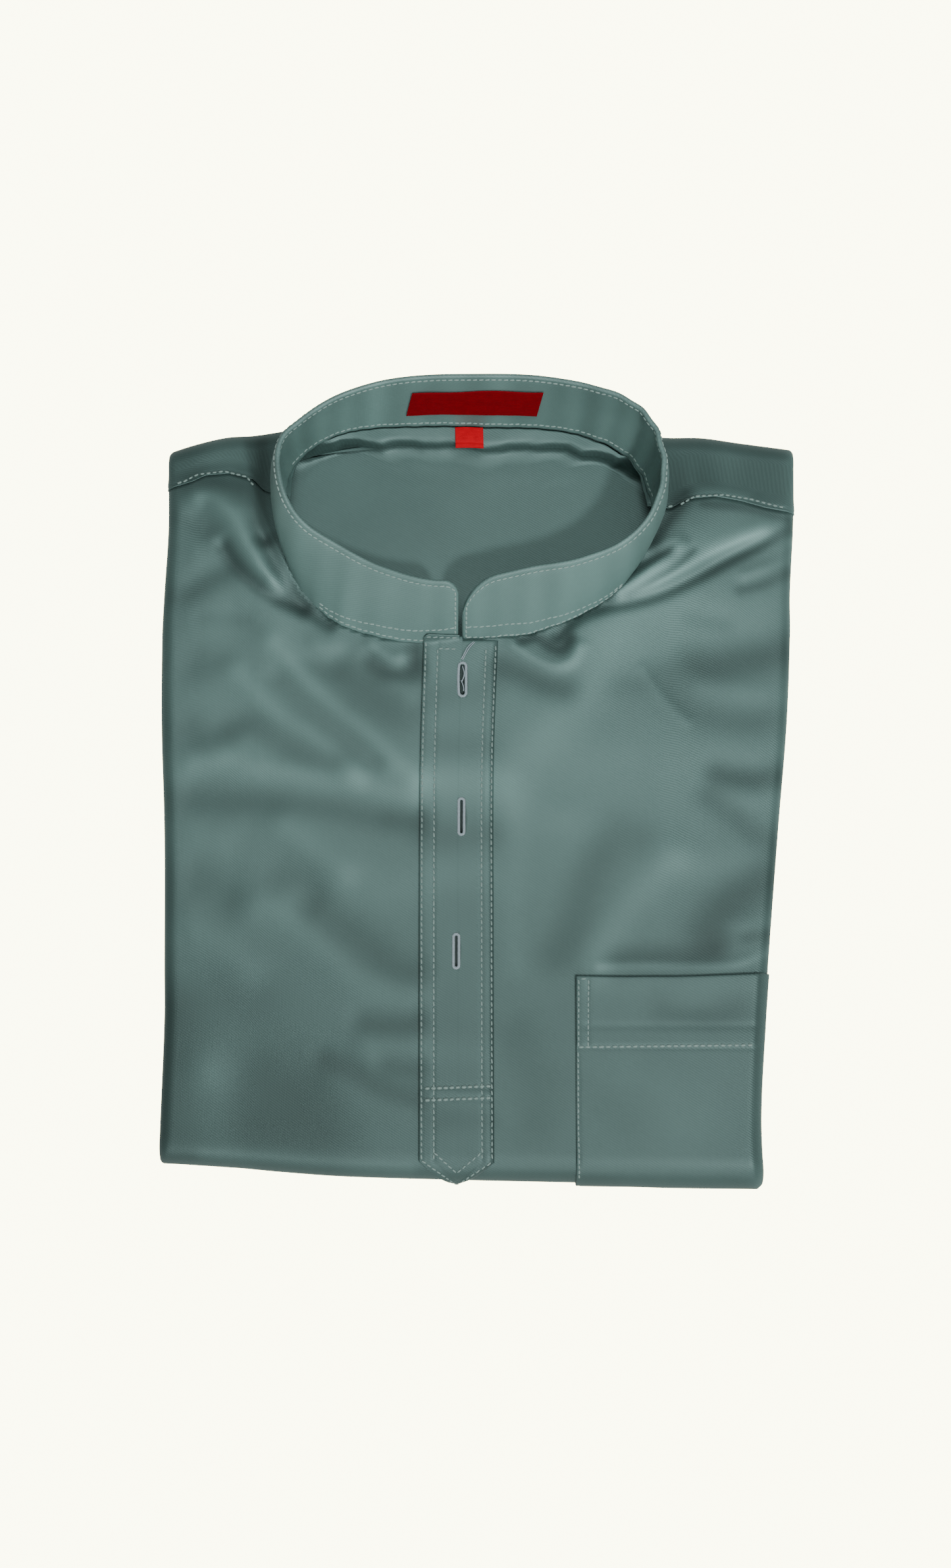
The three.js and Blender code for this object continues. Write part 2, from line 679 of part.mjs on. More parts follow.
// Sleeves, back and hem folded inside: a lower and an upper heap with three edges between
function foldedLayers() {
  const { lipClear, underEnds, upperEnds, upperTop, upperStop } = HEAP;
  const low = 2 * UNDER_ROLL + SEAM_GAP;
  const step = (LIP_LEVEL - SEAM_GAP - low) / LAYER_EDGES.length;
  const underSide = UNDER_ROLL + LIP + 2 * lipClear;
  const upperSide = (THICKNESS - LIP_LEVEL) / 2 + LIP + lipClear;
  const under = prism(layerOutline(underSide, underEnds), CLOTH + SEAM_GAP, low + step / 2);
  const upper = prism(layerOutline(upperSide, upperEnds, upperStop), LIP_LEVEL - step / 2, upperTop);
  const bevel = LAYER_BEVEL;
  let solid = under.add(upper);
  LAYER_EDGES.forEach((side, i) => {
    const outline = layerOutline(side + bevel, LAYER_ENDS + bevel);
    const shape = new THREE.Shape(outline.map(([x, y]) => new THREE.Vector2(x, y)));
    const lap = i < LAYER_EDGES.length - 1 ? LAYER_LAP : 0;
    const layer = new THREE.ExtrudeGeometry(shape, {
      depth: step - 2 * bevel + lap,
      bevelThickness: bevel,
      bevelSize: bevel,
      bevelSegments: 1,
    });
    solid = solid.add(toSolid(layer.translate(0, 0, low + i * step + bevel)));
  });
  const recess = prism(
    neckLoop(FLOOR_STEPS, (s) => floorReach(s) + FLOOR_CLEAR),
    FLOOR_LEVEL - CLOTH - SEAM_GAP,
    ABOVE,
  );
  return fromSolid(solid.subtract(recess));
}

function clothMaterial(colour, roughness = 0.55) {
  return new THREE.MeshStandardMaterial({ color: colour, roughness, metalness: 0 });
}

const part = new THREE.Group();

function addPiece(name, geometry, material) {
  geometry.computeVertexNormals();
  const mesh = new THREE.Mesh(geometry, material);
  mesh.name = name;
  part.add(mesh);
}

addPiece('front_body', frontBody(), clothMaterial(CLOTH_COLOUR));
addPiece('yoke', yoke(), clothMaterial(YOKE_COLOUR));
addPiece('back_body', backBody(), clothMaterial(CLOTH_COLOUR));
addPiece('collar_band', collarBand(), clothMaterial(COLLAR_COLOUR));
addPiece('placket', placket(), clothMaterial(CLOTH_COLOUR));
addPiece('placket_under', placketUnder(), clothMaterial(CLOTH_COLOUR));
addPiece('pocket', pocket(), clothMaterial(CLOTH_COLOUR));
addPiece('main_label', mainLabel(), clothMaterial(LABEL_COLOUR, 0.7));
addPiece('size_label', sizeLabel(), clothMaterial(SIZE_LABEL_COLOUR, 0.7));
addPiece('folded_layers', foldedLayers(), clothMaterial(CLOTH_COLOUR));

export default part;
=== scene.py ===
"""A baju melayu shirt in sage satin twill, folded into a packet with its collar standing.

Lengths are millimetres until a mesh is made, and metres from there on. X runs across the
packet, Y from the bottom fold to the collar, and Z up from the surface it lies on.
"""

import math

import bpy
import numpy as np
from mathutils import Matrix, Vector


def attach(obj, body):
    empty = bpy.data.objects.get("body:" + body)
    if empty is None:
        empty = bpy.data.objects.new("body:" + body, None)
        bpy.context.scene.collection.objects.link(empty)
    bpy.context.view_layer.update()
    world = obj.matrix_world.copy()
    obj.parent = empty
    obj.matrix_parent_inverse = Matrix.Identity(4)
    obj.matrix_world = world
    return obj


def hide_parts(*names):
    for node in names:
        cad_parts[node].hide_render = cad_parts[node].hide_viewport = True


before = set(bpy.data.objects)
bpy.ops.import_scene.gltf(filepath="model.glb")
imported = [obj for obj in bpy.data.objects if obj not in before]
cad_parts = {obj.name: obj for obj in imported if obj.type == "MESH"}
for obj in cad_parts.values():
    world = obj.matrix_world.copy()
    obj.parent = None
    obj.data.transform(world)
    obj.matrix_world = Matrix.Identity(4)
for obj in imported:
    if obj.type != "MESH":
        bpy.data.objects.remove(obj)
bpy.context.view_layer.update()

MM = 0.001

# Camera: straight above the packet, leaning a little from the bottom fold
TARGET = Vector((-2.2, -0.6, 22)) * MM
CAMERA_DISTANCE = 1.0
CAMERA_LEAN = math.radians(8)
CAMERA_LENS = 52.12
CAMERA_SENSOR = 36

# Cloth and stacking
CLOTH = 1.2
SEAM_GAP = 0.3
PLACKET_CLOTH = 1.5
LABEL_CLOTH = 0.5

# The folded packet. EASE values say how far from an edge the folds of the face begin
THICKNESS = 24
SHOULDER_THICKNESS = 20
SHOULDER_TAPER = (122, 146)
SHOULDER_HALF = (60, 100)
SIDE_EASE = (4, 14)
SHOULDER_EASE = (-2, 10)
BOTTOM_EASE = (0, 10)
LIP = 9
LIP_TURN = 7
LIP_LEVEL = 13.5
UNDER_ROLL = 3.5
FRONT_HEM_Y = 120.5
YOKE_UNDER = 30
NECK = np.array([-6.0, 112.0])
NECK_RISE = {"height": 4.5, "y": 122, "half": 84, "spread_x": 18, "spread_y": 28}

# Side folds pinched at the packet's corners: by what share, and at which v
SHOULDER_PINCH = (0.4, 1.5)
BOTTOM_PINCH = (0.6, 3.5)
PINCH_SPREAD = 0.3

# The collar band and the neck
BAND_WALL = 2.2
BAND_TUCK = 0.9
BAND_WIDTH = 36
LEFT_CORNER = (8, 8)
RIGHT_CORNER = (15, 22)
END_STATION_LENGTH = 16.8
FLOOR_LEVEL = 11
FLOOR_REACH = 12
RIM_RISE = 1.1
DROP_END = 18
SEAM_LEVEL = 130
YOKE_LEVEL = 140
YOKE_BEHIND_BAND = (-88.2, 76.8)
YOKE_ROLL = 0.5
YOKE_STITCH_LEVEL = 0.62

# The neck's edge in the front: how far off points are looked at, and how near are pulled in
NECK_SEARCH = 110
NECK_PULL = 0.75

# Points of a closed middle that are nearer than this, in metres, become one
MIDDLE_WELD = 0.00002

# The front opening and the pocket
PLACKET_TOP = {"left": 65.2, "right": 63.3, "step_x": -9.5}
PLACKET_WIDTH = 33
PLACKET_LENGTH = 222
PLACKET_SPAN = (-26.5, 6)
PLACKET_CORNER = 2.5
PLACKET_CORNER_V = 3.1
PLACKET_TIP_V = 3.5
PLACKET_TIP_X = -10.3
UNDERLAP = {"left": -24, "right": 4, "top": 59.5, "bottom": -156}
POCKET = {"left": 41.2, "left_top": -84.8, "right": 126, "right_top": -83.7}
POCKET_WIDTH = 80
POCKET_HEIGHT = 78
POCKET_HEM_ROW = -115.8
POCKET_CREASE = -106.8
POCKET_WRAP_U = 1.75
POCKET_WRAP_V = 3 + 5 / 6

# Labels: width and length, and where they are sewn
NECK_LABEL = (58, 16.5)
LABEL_STATIONS = (10.69, 13.05)
LABEL_LOW = (0.27, 0.28)
LABEL_TOP = (0.725, 0.745)
SMALL_LABEL = (12.6, 9.6)
SMALL_LABEL_LEFT = -11.4
SMALL_LABEL_TOP = 161

# Grids of points: how many across or down, or the size of a cell
FRONT_COLUMNS, FRONT_ROWS = 170, 180
YOKE_COLUMNS, YOKE_ROWS = 200, 44
BAND_COLUMNS, BAND_ROWS = 330, 34
BACK_COLUMNS, DROP_ROWS, BACK_FLOOR_ROWS = 320, 46, 40
TIP_ROWS = 22
PLACKET_CELL = (0.75, 0.85)
SLIT_COLUMNS = (14.6, 18.2, 19)
UNDERLAP_CELL = (2, 3)
POCKET_CELL = (0.8, 0.85)

# The layers inside: how far each is set back from the packet's sides, and their hollow
LAYER_EDGES = (2.2, 4, 2.8)
LAYER_BASE = 13.6
HOLLOW_CENTRE = np.array([NECK[0], 100.0])
HOLLOW_HALF = np.array([104.0, 57.0])
HOLLOW_ROUNDNESS = 0.66

# Side edges of the packet: y, left, right
SIDE_EDGES = (
    (170, -141.3, 142.4),
    (153, -141, 141.7),
    (118, -140, 140.4),
    (87, -141.3, 138.4),
    (68, -141.9, 138.1),
    (27, -141.4, 135.8),
    (-20, -139.3, 131.2),
    (-82, -138.1, 125.5),
    (-104, -137.7, 123.6),
    (-146, -138.6, 120.8),
    (-178, -139.2, 121.6),
)

# Shoulder fold and bottom fold: x, top, bottom
END_EDGES = (
    (-142, 152.4, -165.6),
    (-129, 156.7, -166.3),
    (-115, 160, -167.2),
    (-103, 160.8, -168),
    (-88, 162.9, -169.4),
    (-60, 167, -171.4),
    (-10, 170, -172.9),
    (40, 168.6, -174),
    (66, 164.6, -174.4),
    (80, 160.2, -174.8),
    (100, 159.8, -175.1),
    (117, 157.4, -175.3),
    (142, 154, -175.8),
)

# Edges of the placket: y, left, right
PLACKET_EDGES = (
    (65, -25.2, 7.9),
    (10, -26.6, 5.9),
    (-60, -26.8, 5.7),
    (-175, -26.5, 5.9),
)

# The band's outer face from its left front end round the back: base x, y, bow, top x, y, z
COLLAR = (
    (-9.6, 63.8, 0.4, -9.6, 83.5, 52),
    (-26.3, 61.8, 0.8, -23.5, 84, 51.5),
    (-49.6, 65.3, 1, -44.5, 91, 50.5),
    (-67.2, 73.3, 1.4, -61, 99, 52),
    (-81.5, 88.5, 2.2, -77, 109, 56.5),
    (-88, 107, 3.4, -85.5, 121, 60.5),
    (-89, 126, 3.5, -88.3, 135, 62.3),
    (-86.5, 140.5, 2.8, -86, 146.5, 62.3),
    (-79.5, 151, 2, -78, 154.4, 61),
    (-65, 159, 1, -62.8, 165.2, 59),
    (-48, 162.8, 0.4, -46.5, 171.5, 58),
    (-25, 163.5, 0, -24, 175, 57),
    (0, 163.3, 0, 0, 175.8, 56.8),
    (25, 162.6, 0, 26, 174.6, 57),
    (45, 159.4, 0.6, 47, 171.2, 57.2),
    (60, 153.4, 1.4, 63.8, 164.4, 58.5),
    (70.5, 144.3, 2.4, 74.6, 154.4, 60.3),
    (76.2, 132, 3.2, 79, 141, 61.8),
    (77.4, 117, 3.4, 79.2, 125.5, 62.5),
    (72.6, 101.5, 2.4, 73.4, 110.3, 62),
    (61.4, 86.3, 1.4, 60.6, 98.4, 59),
    (43.8, 74.4, 1, 43.2, 92.6, 55),
    (26.3, 67.4, 0.8, 25.8, 90.2, 52.5),
    (9.6, 64.2, 0.6, 9.4, 86.5, 52),
    (-8.2, 63.8, 0.4, -7.8, 83, 52),
)
LAST_STATION = len(COLLAR) - 1

# Shoulder seams from the packet's left side to its right: x, y
SHOULDER_SEAM = (
    (-150, 131),
    (-140.1, 132.6),
    (-132.8, 135),
    (-126.9, 138.3),
    (-115.1, 139.8),
    (-104.8, 136.8),
    (-100.2, 130.6),
    (-95.2, 128.6),
    (-80, 128),
    (70, 122),
    (81, 122.2),
    (88.4, 122.6),
    (95.8, 127.2),
    (109.1, 128.3),
    (120.8, 126.2),
    (132.6, 122.8),
    (150, 119.5),
)

# Folds of the front, yoke, placket and pocket: painted highlight (or, below 0, painted shade)
# along the fold, its half width, the height of its crest, and points of its line
FOLDS = (
    # by the left shoulder
    (-0.7, 4.4, -1.5, (-98.5, 158), (-98.5, 140), (-98.5, 122), (-95, 106)),
    (-0.6, 3.6, -1.2, (-95, 110), (-90, 96), (-82, 84), (-74, 76), (-64, 69.5)),
    (0.42, 6, 1.9, (-132, 130), (-119, 129), (-111, 120), (-105, 108), (-98, 97), (-88, 86)),
    (-0.24, 5.5, -0.6, (-140, 121), (-128, 117), (-118, 110)),
    (-0.72, 3.6, -1.1, (-115, 108), (-109.5, 99), (-101, 90), (-91, 83), (-76, 76)),
    (-0.3, 6.1, -0.4, (-140, 82), (-130, 85), (-120, 91), (-108, 96)),
    (0.08, 10.8, 0.3, (-132, 102), (-116, 98)),
    (-0.35, 5.4, 0, (-136, 133), (-118, 135.5), (-103, 133)),
    (-0.3, 10.8, 0, (-138, 148), (-127, 151)),
    (0.06, 8.1, 0.2, (-118, 146), (-103, 146)),
    (0.12, 12.2, 0.4, (-124, 64), (-108, 84), (-96, 78), (-86, 64)),
    (-0.11, 4.7, -0.2, (-126, 73.5), (-112, 73.5), (-99, 72)),
    (-0.22, 10.8, -0.3, (-132, 52), (-116, 49)),
    # between the collar and the placket, left
    (0.2, 4.9, 0.4, (-75, 60.5), (-68, 59), (-60, 60.5)),
    (-0.3, 6.8, -0.4, (-78, 55), (-68, 50.5), (-58, 51)),
    (-0.5, 14.9, -0.3, (-62, 49), (-46, 38), (-30, 27)),
    (0.35, 3.2, 0.5, (-49, 62.5), (-43.5, 56.5), (-37, 54), (-32, 57)),
    (-0.55, 4.6, -0.5, (-50, 56), (-41, 50), (-34, 48.5), (-24, 49.5)),
    (-0.8, 4.1, -0.5, (-29, 63), (-29, 51)),
    (0.22, 6.1, 0.3, (-40, 46), (-32, 40), (-27, 35)),
    # across the left front
    (0.34, 6.2, 0.6, (-94, 65), (-81, 51), (-70, 38.5), (-60, 29.5), (-48, 20), (-38, 10), (-24, -2)),
    (-0.3, 5.7, -0.4, (-91, 48), (-78, 36), (-67, 27), (-56, 18), (-43, 6)),
    (0.26, 6.2, 0.5, (-110, 52), (-99, 40), (-88, 27.5), (-76, 20), (-64, 11), (-50, 0)),
    (-0.38, 6.8, -0.4, (-116, 20), (-101, 26), (-90, 21), (-78, 14), (-60, 6)),
    (-0.26, 8.1, -0.3, (-134, 27), (-118, 16)),
    (0.06, 8.1, 0.2, (-132, 36), (-114, 43)),
    (0.15, 5.4, 0, (-115, 11), (-103, 15), (-91, 11)),
    (0.28, 7, 0.5, (-134, 6), (-114, 9), (-97, 5), (-78, 2), (-58, -0.5), (-42, -5), (-24, -10)),
    (-0.38, 8, -0.6, (-137, -7), (-112, -8), (-88, -7.5), (-64, -10.5), (-46, -14), (-22, -18)),
    (-0.18, 5.4, 0, (-44, -16), (-24, -16)),
    (0.07, 8.1, 0.3, (-134, -23), (-122, -25.5), (-107, -28)),
    (-0.24, 9.5, -0.3, (-130, -41), (-116, -47), (-104, -58)),
    (0.18, 7.4, 0.5, (-89, -17), (-78, -26), (-68, -34), (-55, -44)),
    (0.16, 12.2, 0.3, (-62, -42), (-44, -46), (-25, -48)),
    (-0.21, 8.1, -0.3, (-92, -41), (-80, -44), (-70, -56)),
    (-0.36, 8.1, -0.4, (-76, -54), (-60, -65), (-48, -74), (-36, -82), (-22, -86)),
    (0.22, 8.8, 0.6, (-102, -54), (-87, -59), (-75, -67), (-64, -78), (-52, -88), (-22, -95)),
    (0.2, 8.8, 0.4, (-135, -62), (-119, -70), (-108, -77), (-97, -88)),
    (-0.12, 10.8, 0, (-114, -90), (-88, -102)),
    (-0.4, 6.1, -0.4, (-54, -105), (-38, -106), (-23, -105)),
    (0.15, 6.1, 0.3, (-52, -115), (-38, -116), (-23, -116)),
    (-0.3, 5.1, -0.3, (-44, -123.5), (-23, -126)),
    (-0.36, 5.4, -0.3, (-71, -120), (-56, -125.5), (-46, -132), (-36, -136), (-23, -140)),
    (0.08, 6.1, 0.2, (-66, -132), (-48, -139), (-26, -144)),
    (0.24, 10.1, 0.4, (-124, -124), (-109, -130)),
    (-0.32, 14.9, -0.3, (-104, -123), (-84, -132), (-64, -135)),
    (-0.36, 14.9, -0.3, (-106, -149), (-80, -155), (-55, -155)),
    (-0.32, 13.5, 0, (-134, -90), (-135, -130), (-132, -164)),
    (0.24, 3.1, 0, (-122, -161.5), (-88, -163.5), (-58, -166.5), (-28, -168)),
    # by the right shoulder
    (-1, 4.6, -1.6, (93, 133), (84, 118), (75, 105)),
    (-0.9, 2.9, -0.7, (86, 104), (73, 97.5), (64, 89.5), (57, 83)),
    (0.1, 1.8, 0.3, (90, 110), (78, 104), (70, 100)),
    (0.5, 2.8, 0.8, (58, 84), (69, 90.5), (79, 97), (92, 107)),
    (-0.45, 2, -0.5, (64, 83.5), (77, 90.5), (87, 96.5), (96, 105)),
    (0.5, 6, 1.3, (58, 80.5), (76, 87), (90, 94), (102, 101.5), (116, 107), (142, 113)),
    (0.4, 6.8, 0.3, (96, 107), (112, 113), (130, 115)),
    (-0.85, 3.4, -1.6, (33, 63), (43, 73.5), (54, 78), (66, 80))
    + ((80, 84), (95, 91), (110, 99.5), (141, 115)),
    (0.15, 2.4, 0.3, (116, 91.5), (129, 96.5), (141, 101)),
    (-0.4, 3.1, -0.3, (114, 86), (128, 90), (141, 96)),
    (-0.38, 6.8, -0.3, (88, 144), (108, 142)),
    (-0.22, 10.8, 0, (118, 147), (142, 139)),
    (0.35, 2.8, 0, (88, 129), (105, 131.5), (121, 128.5)),
    (-0.45, 2.2, 0, (98, 125.5), (118, 123.5), (140, 118)),
    # between the collar and the placket, right
    (-0.85, 2.8, -0.7, (16, 63), (26, 65), (31, 61), (36.5, 59.5), (41, 66)),
    (0.35, 2.9, 0.6, (14, 62.5), (23, 55), (33, 51), (41, 53.5), (46, 62)),
    (-0.6, 7, -0.5, (5, 54), (20, 48.5), (30, 44), (43, 40)),
    # across the right front
    (0.32, 17.6, 0.3, (54, 64), (84, 77), (104, 77.5), (132, 73)),
    (0.22, 12, 0.3, (58, 72), (53, 54), (46, 40), (34, 27), (23, 15), (16, 3), (14, -16)),
    (0.08, 12.2, 0.2, (28, 13), (60, 10), (90, 11), (141, 12)),
    (-0.6, 9.5, -0.5, (141, 59), (120, 55.5), (104, 52.5), (89, 55)),
    (-0.36, 8.1, -0.3, (78, 54), (86, 39), (96, 31.5), (110, 27.5), (134, 28)),
    (0.12, 2.4, 0.3, (71, 52), (81, 37), (93, 25)),
    (0.08, 5.4, 0.2, (96, 43), (118, 39.5), (141, 37)),
    (-0.19, 6.8, -0.2, (57, 44), (75, 44)),
    (-0.15, 4.7, -0.2, (91, 74), (113, 70.5)),
    (-0.65, 6.1, -0.5, (100, 5), (118, 2), (141, 3)),
    (0.08, 5.4, 0.2, (107, -7.5), (124, -8.5), (139, -4)),
    (-0.34, 6, -0.3, (97, -3), (112, -14), (121, -22.5), (134, -30)),
    (0.22, 8.5, 0.5, (91, -30), (76, -42), (67, -53), (60, -62), (53, -73), (48, -88)),
    (0.1, 8.1, 0.2, (82, -33), (104, -36), (127, -33)),
    (-0.34, 9.5, -0.3, (56, -26), (45, -48), (39, -63), (30, -82)),
    (-0.26, 9.5, -0.3, (54, -20), (76, -25)),
    (-0.6, 10.8, -0.4, (134, -38), (114, -49), (103, -58), (97, -74)),
    (-0.45, 6.1, -0.3, (56, -77), (76, -76), (92, -76.5), (107, -73)),
    (0.12, 4.1, 0.2, (107, -63.5), (130, -60)),
    (-0.3, 2.8, -0.2, (114, -68.5), (130, -66.5)),
    (0.3, 2.2, 0.3, (50, -81), (75, -80.5), (100, -81), (114, -79.5), (131, -72)),
    (0.12, 6.8, 0.15, (14, 6), (15.5, -20), (16, -38), (14, -60), (15, -86)),
    (0.09, 8.1, 0.2, (26, -16), (44, -19)),
    (-0.15, 10.8, -0.2, (12, -104), (22, -128), (24, -156)),
    # the placket and the pocket
    (-0.2, 6.8, 0, (-28, 38), (10, 42)),
    (-0.1, 60, 0, (-10, 10), (-10, -90)),
    (-0.2, 6.8, 0, (-24, 16), (9, 15)),
    (0.35, 9.5, 0, (-28, 0), (10, 0)),
    (-0.28, 8.1, 0, (-28, -24), (10, -23)),
    (0.16, 9.5, 0, (-28, -42), (10, -41)),
    (0.12, 6.8, 0, (-26, -118), (8, -118)),
    (-0.16, 5.4, 0, (-26, -146), (8, -148)),
    (-0.22, 6.8, 0, (74, -99), (94, -101), (116, -99)),
    (0.1, 10.8, 0, (56, -122), (84, -140), (104, -152)),
)
PAINTED_SHADING, WIDTH, HEIGHT = 0, 1, 2

# How folds are drawn: step along their lines, then reach, fade and shift of the crest in widths
FOLD_STEP = 2.5
FOLD_REACH = 2.6
FOLD_FADE = 1.8
CREST_SHIFT = (-0.3, 0.34)

# More painted shading of the satin: shade towards the bottom fold and beside the left side
# edge, and a highlight beside the right side edge, with spread
LOWER_PAINTED_SHADING = -0.4
LOWER_REACH = (10, -120)
LEFT_EDGE_PAINTED_SHADING = (-0.12, 6)
RIGHT_EDGE_PAINTED_SHADING = (0.5, 3.5)
# How strongly all the painted shading lightens or darkens the satin's colour
PAINTED_SHADING_SHARE = 0.82

# Slant of the twill's ribs, in degrees
TWILL_ANGLE = 120

# Waves of the collar band: their heights
RIGHT_WAVE = 0.34
FRONT_WAVE = 0.22
PUCKER = 0.1
LONG_WAVE = 0.16

# Painted shading of the collar outside and inside: strength of soft painted stripes, then
# patches of painted highlight or shade: how much lighter or darker, station and spread
OUTSIDE_SWAY = 0.05
OUTSIDE_SHADES = ((-0.42, 5.7, 0.9), (0.28, 20.7, 1.1))
INSIDE_SWAY = 0.09
INSIDE_SHADES = ((0.2, 9.4, 1.2), (-0.12, 14.2, 1))

# The back panel below its neck seam, at the back: distance inwards, height above the floor
BACK_DROP = (
    (0, 12.1),
    (3, 12.6),
    (6.2, 12.4),
    (8.2, 10.6),
    (8, 8),
    (6.6, 5.6),
    (6.4, 3),
    (8.4, 0.9),
    (12, 0.1),
    (18, 0),
)

# Buttonholes: x, upper end, lower end, half width, bow to the left
BUTTONHOLES = (
    (-7.9, 53.6, 37.4, 2.1, 0.5),
    (-8.4, -6.9, -24.1, 1.8, 0),
    (-10.6, -66.4, -82.4, 1.8, 0),
)
SLIT_LIP = 0.7
# Painted shadow in the slits, for their depth
SLIT_SHADE = 1.5

# The thread wrapped round them: half width, height, and distance from wrap to wrap
HOLE_THREAD = 0.62
HOLE_THREAD_HEIGHT = 0.5
WRAP_PITCH = 0.52

# Stray threads over the placket: how far they stand up, and points of their lines
STRAY_THREAD = 0.22
STRAY_THREADS = (
    (0.9, (-2.4, 62.4), (-4.4, 60.2), (-6.2, 57.4), (-8, 54.2)),
    (1.3, (-3, 62.6), (-5.6, 59.8), (-7.2, 56.8), (-8.5, 54.6)),
    (0.5, (-7.9, 51.5), (-7.2, 47.6), (-8.4, 44.0)),
    (0.3, (-8.6, 45.2), (-7.6, 42.4), (-7.4, 40.2)),
)

# Stitches: distance from one to the next, width and slant
SHOULDER_STITCH = (2.6, 1, 0.05)
PLEAT_STITCH = (2.6, 0.9, 0.2)
COLLAR_STITCH = (2.7, 0.75, 0.1)
PLACKET_STITCH = (2.7, 0.75, 0.12)
CROSS_STITCH = (2.5, 1.25, 0)
POCKET_STITCH = (2.4, 0.75, 0.12)
HEM_STITCH = (2.85, 1.25, 0)

# One stitch: its length in steps, its height in widths, and how uneven the stitches are
STITCH_LENGTH = 0.74
STITCH_HEIGHT = 0.42
UNEVEN_TURN = 0.06
UNEVEN_SIZE = 0.05
STITCH_SIDES = 6
THREAD_SIDES = 8
THREAD_LIFT = 0.02

# Grooves that the stitch rows draw in: depth and width
YOKE_GROOVE = (0.25, 0.6)
BAND_GROOVE = (0.2, 0.7)
PLACKET_GROOVE = (0.18, 0.6)
CROSS_GROOVE = (0.3, 0.8)
POCKET_GROOVE = (0.2, 0.6)
HEM_GROOVE = (0.35, 0.9)

# Stitch rows of the collar: distance from its top and from its ends, and, as station and
# share of its width, the upper of the two rows above its seam, left and right
BAND_TOP_ROW = 2.3
BAND_END_ROW = 1.7
LEFT_FOOT_ROW = ((0, 0.24), (1, 0.24), (2, 0.2), (3.3, 0.13))
RIGHT_FOOT_ROW = ((19.9, 0.1), (21, 0.16), (22.6, 0.23), (24, 0.24))

# Stitch rows of the placket: distance from a side, and y of the rows across it
PLACKET_ROWS = ((1.1, "left"), (6.4, "left"), (5.3, "right"), (1, "right"))
CROSS_ROWS = (-133, -138)
CROSS_FOLD = -135.6

# Chains of corners of the placket's other rows
PLACKET_CHAINS = (
    ((-24.2, 64.1), (-10.2, 64.1)),
    ((-19, 59.4), (-10.6, 59.2)),
    ((-25.4, -163.6), (-10.4, -173)),
    ((-10.2, -173), (4.8, -164.4)),
    ((-20.2, -160.6), (-10.4, -168.4)),
    ((-10.2, -168.4), (0.4, -160.8)),
)

# Shoulder rows: from x, to x, points of their line, distance from the seam, and stitch
SHOULDER_ROWS = (
    (-139, -101.5, 80, SEAM_GAP + 1.3, SHOULDER_STITCH),
    (89, 137, 80, SEAM_GAP + 1.3, SHOULDER_STITCH),
    (79.5, 86.5, 10, 1.4, PLEAT_STITCH),
)

# Colours before light, as shares of full red, green and blue
WHITE = (1, 1, 1)
SAGE = (0.106, 0.184, 0.172)
# The collar's sage: the body's sage made lighter, as painted light on the upright band
LIT_COLLAR_SAGE = (0.158, 0.275, 0.255)
SAGE_THREAD = (0.22, 0.335, 0.305)
COLLAR_THREAD = (0.3, 0.44, 0.4)
BLUE_THREAD = (0.33, 0.42, 0.46)
DARK_RED = (0.235, 0.001, 0.007)
BRIGHT_RED = (0.62, 0.001, 0.012)
FLOOR = (0.75, 0.75, 0.73)
FLOOR_GLOW = (10.5, 10.5, 6.6)
DAYLIGHT = (1, 1, 0.985)
WORLD_STRENGTH = 0.2

# Lights, in metres and watts: name, place, size, power
LIGHTS = (
    ("key", (1, -1.12, 2.7), 0.25, 45),
    ("top", (0.02, 0.16, 1.25), 0.5, 4),
    ("front", (-0.2, -2.6, 1.8), 1.8, 30),
)
LIGHT_AIM = Vector((0, 0, 0.02))


def lerp(a, b, t):
    return a + (b - a) * t


def smooth(x, low, high):
    t = np.clip((x - low) / (high - low), 0, 1)
    return t * t * (3 - 2 * t)


def hill(x, middle, spread):
    """A bell of height 1 over its middle."""
    return np.exp(-(((x - middle) / spread) ** 2))


def plateau(x, start, full, last, end):
    """1 from full to last, and 0 before start and after end."""
    return smooth(x, start, full) * (1 - smooth(x, last, end))


def distances(points):
    """Distance along a line of points to each of them."""
    return np.concatenate([[0], np.cumsum(np.linalg.norm(np.diff(points, axis=0), axis=1))])


def as_arrays(*values):
    """Values as arrays of one shape."""
    return np.broadcast_arrays(*(np.asarray(a, float) for a in values))


def gridded(across, down):
    """Pairs of values on a grid, from one value for each column and one for each row."""
    return np.stack(np.broadcast_arrays(across[None, :], down[:, None]), axis=-1).copy()


def unit(a):
    """Vectors brought to length 1."""
    return a / np.maximum(np.linalg.norm(a, axis=-1, keepdims=True), 1e-12)


def track(table, column):
    """A column of a table as a smooth function of its first column."""
    rows = np.array(sorted(table), float)
    at, value = rows[:, 0], rows[:, column]
    before = np.maximum(np.arange(len(at)) - 1, 0)
    after = np.minimum(np.arange(len(at)) + 1, len(at) - 1)
    slope = (value[after] - value[before]) / (at[after] - at[before])

    def read(x):
        high = np.clip(np.searchsorted(at, x), 1, len(at) - 1)
        low = high - 1
        span = at[high] - at[low]
        t = np.clip((x - at[low]) / span, 0, 1)
        t2, t3 = t * t, t * t * t
        return (
            (2 * t3 - 3 * t2 + 1) * value[low]
            + (t3 - 2 * t2 + t) * span * slope[low]
            + (3 * t2 - 2 * t3) * value[high]
            + (t3 - t2) * span * slope[high]
        )

    return read


left_edge = track(SIDE_EDGES, 1)
right_edge = track(SIDE_EDGES, 2)
top_edge = track(END_EDGES, 1)
bottom_edge = track(END_EDGES, 2)
placket_left = track(PLACKET_EDGES, 1)
placket_right = track(PLACKET_EDGES, 2)
SEAM_X, SEAM_Y = np.array(SHOULDER_SEAM).T


def seam_y(x):
    """Y of the shoulder seam."""
    return np.interp(x, SEAM_X, SEAM_Y)


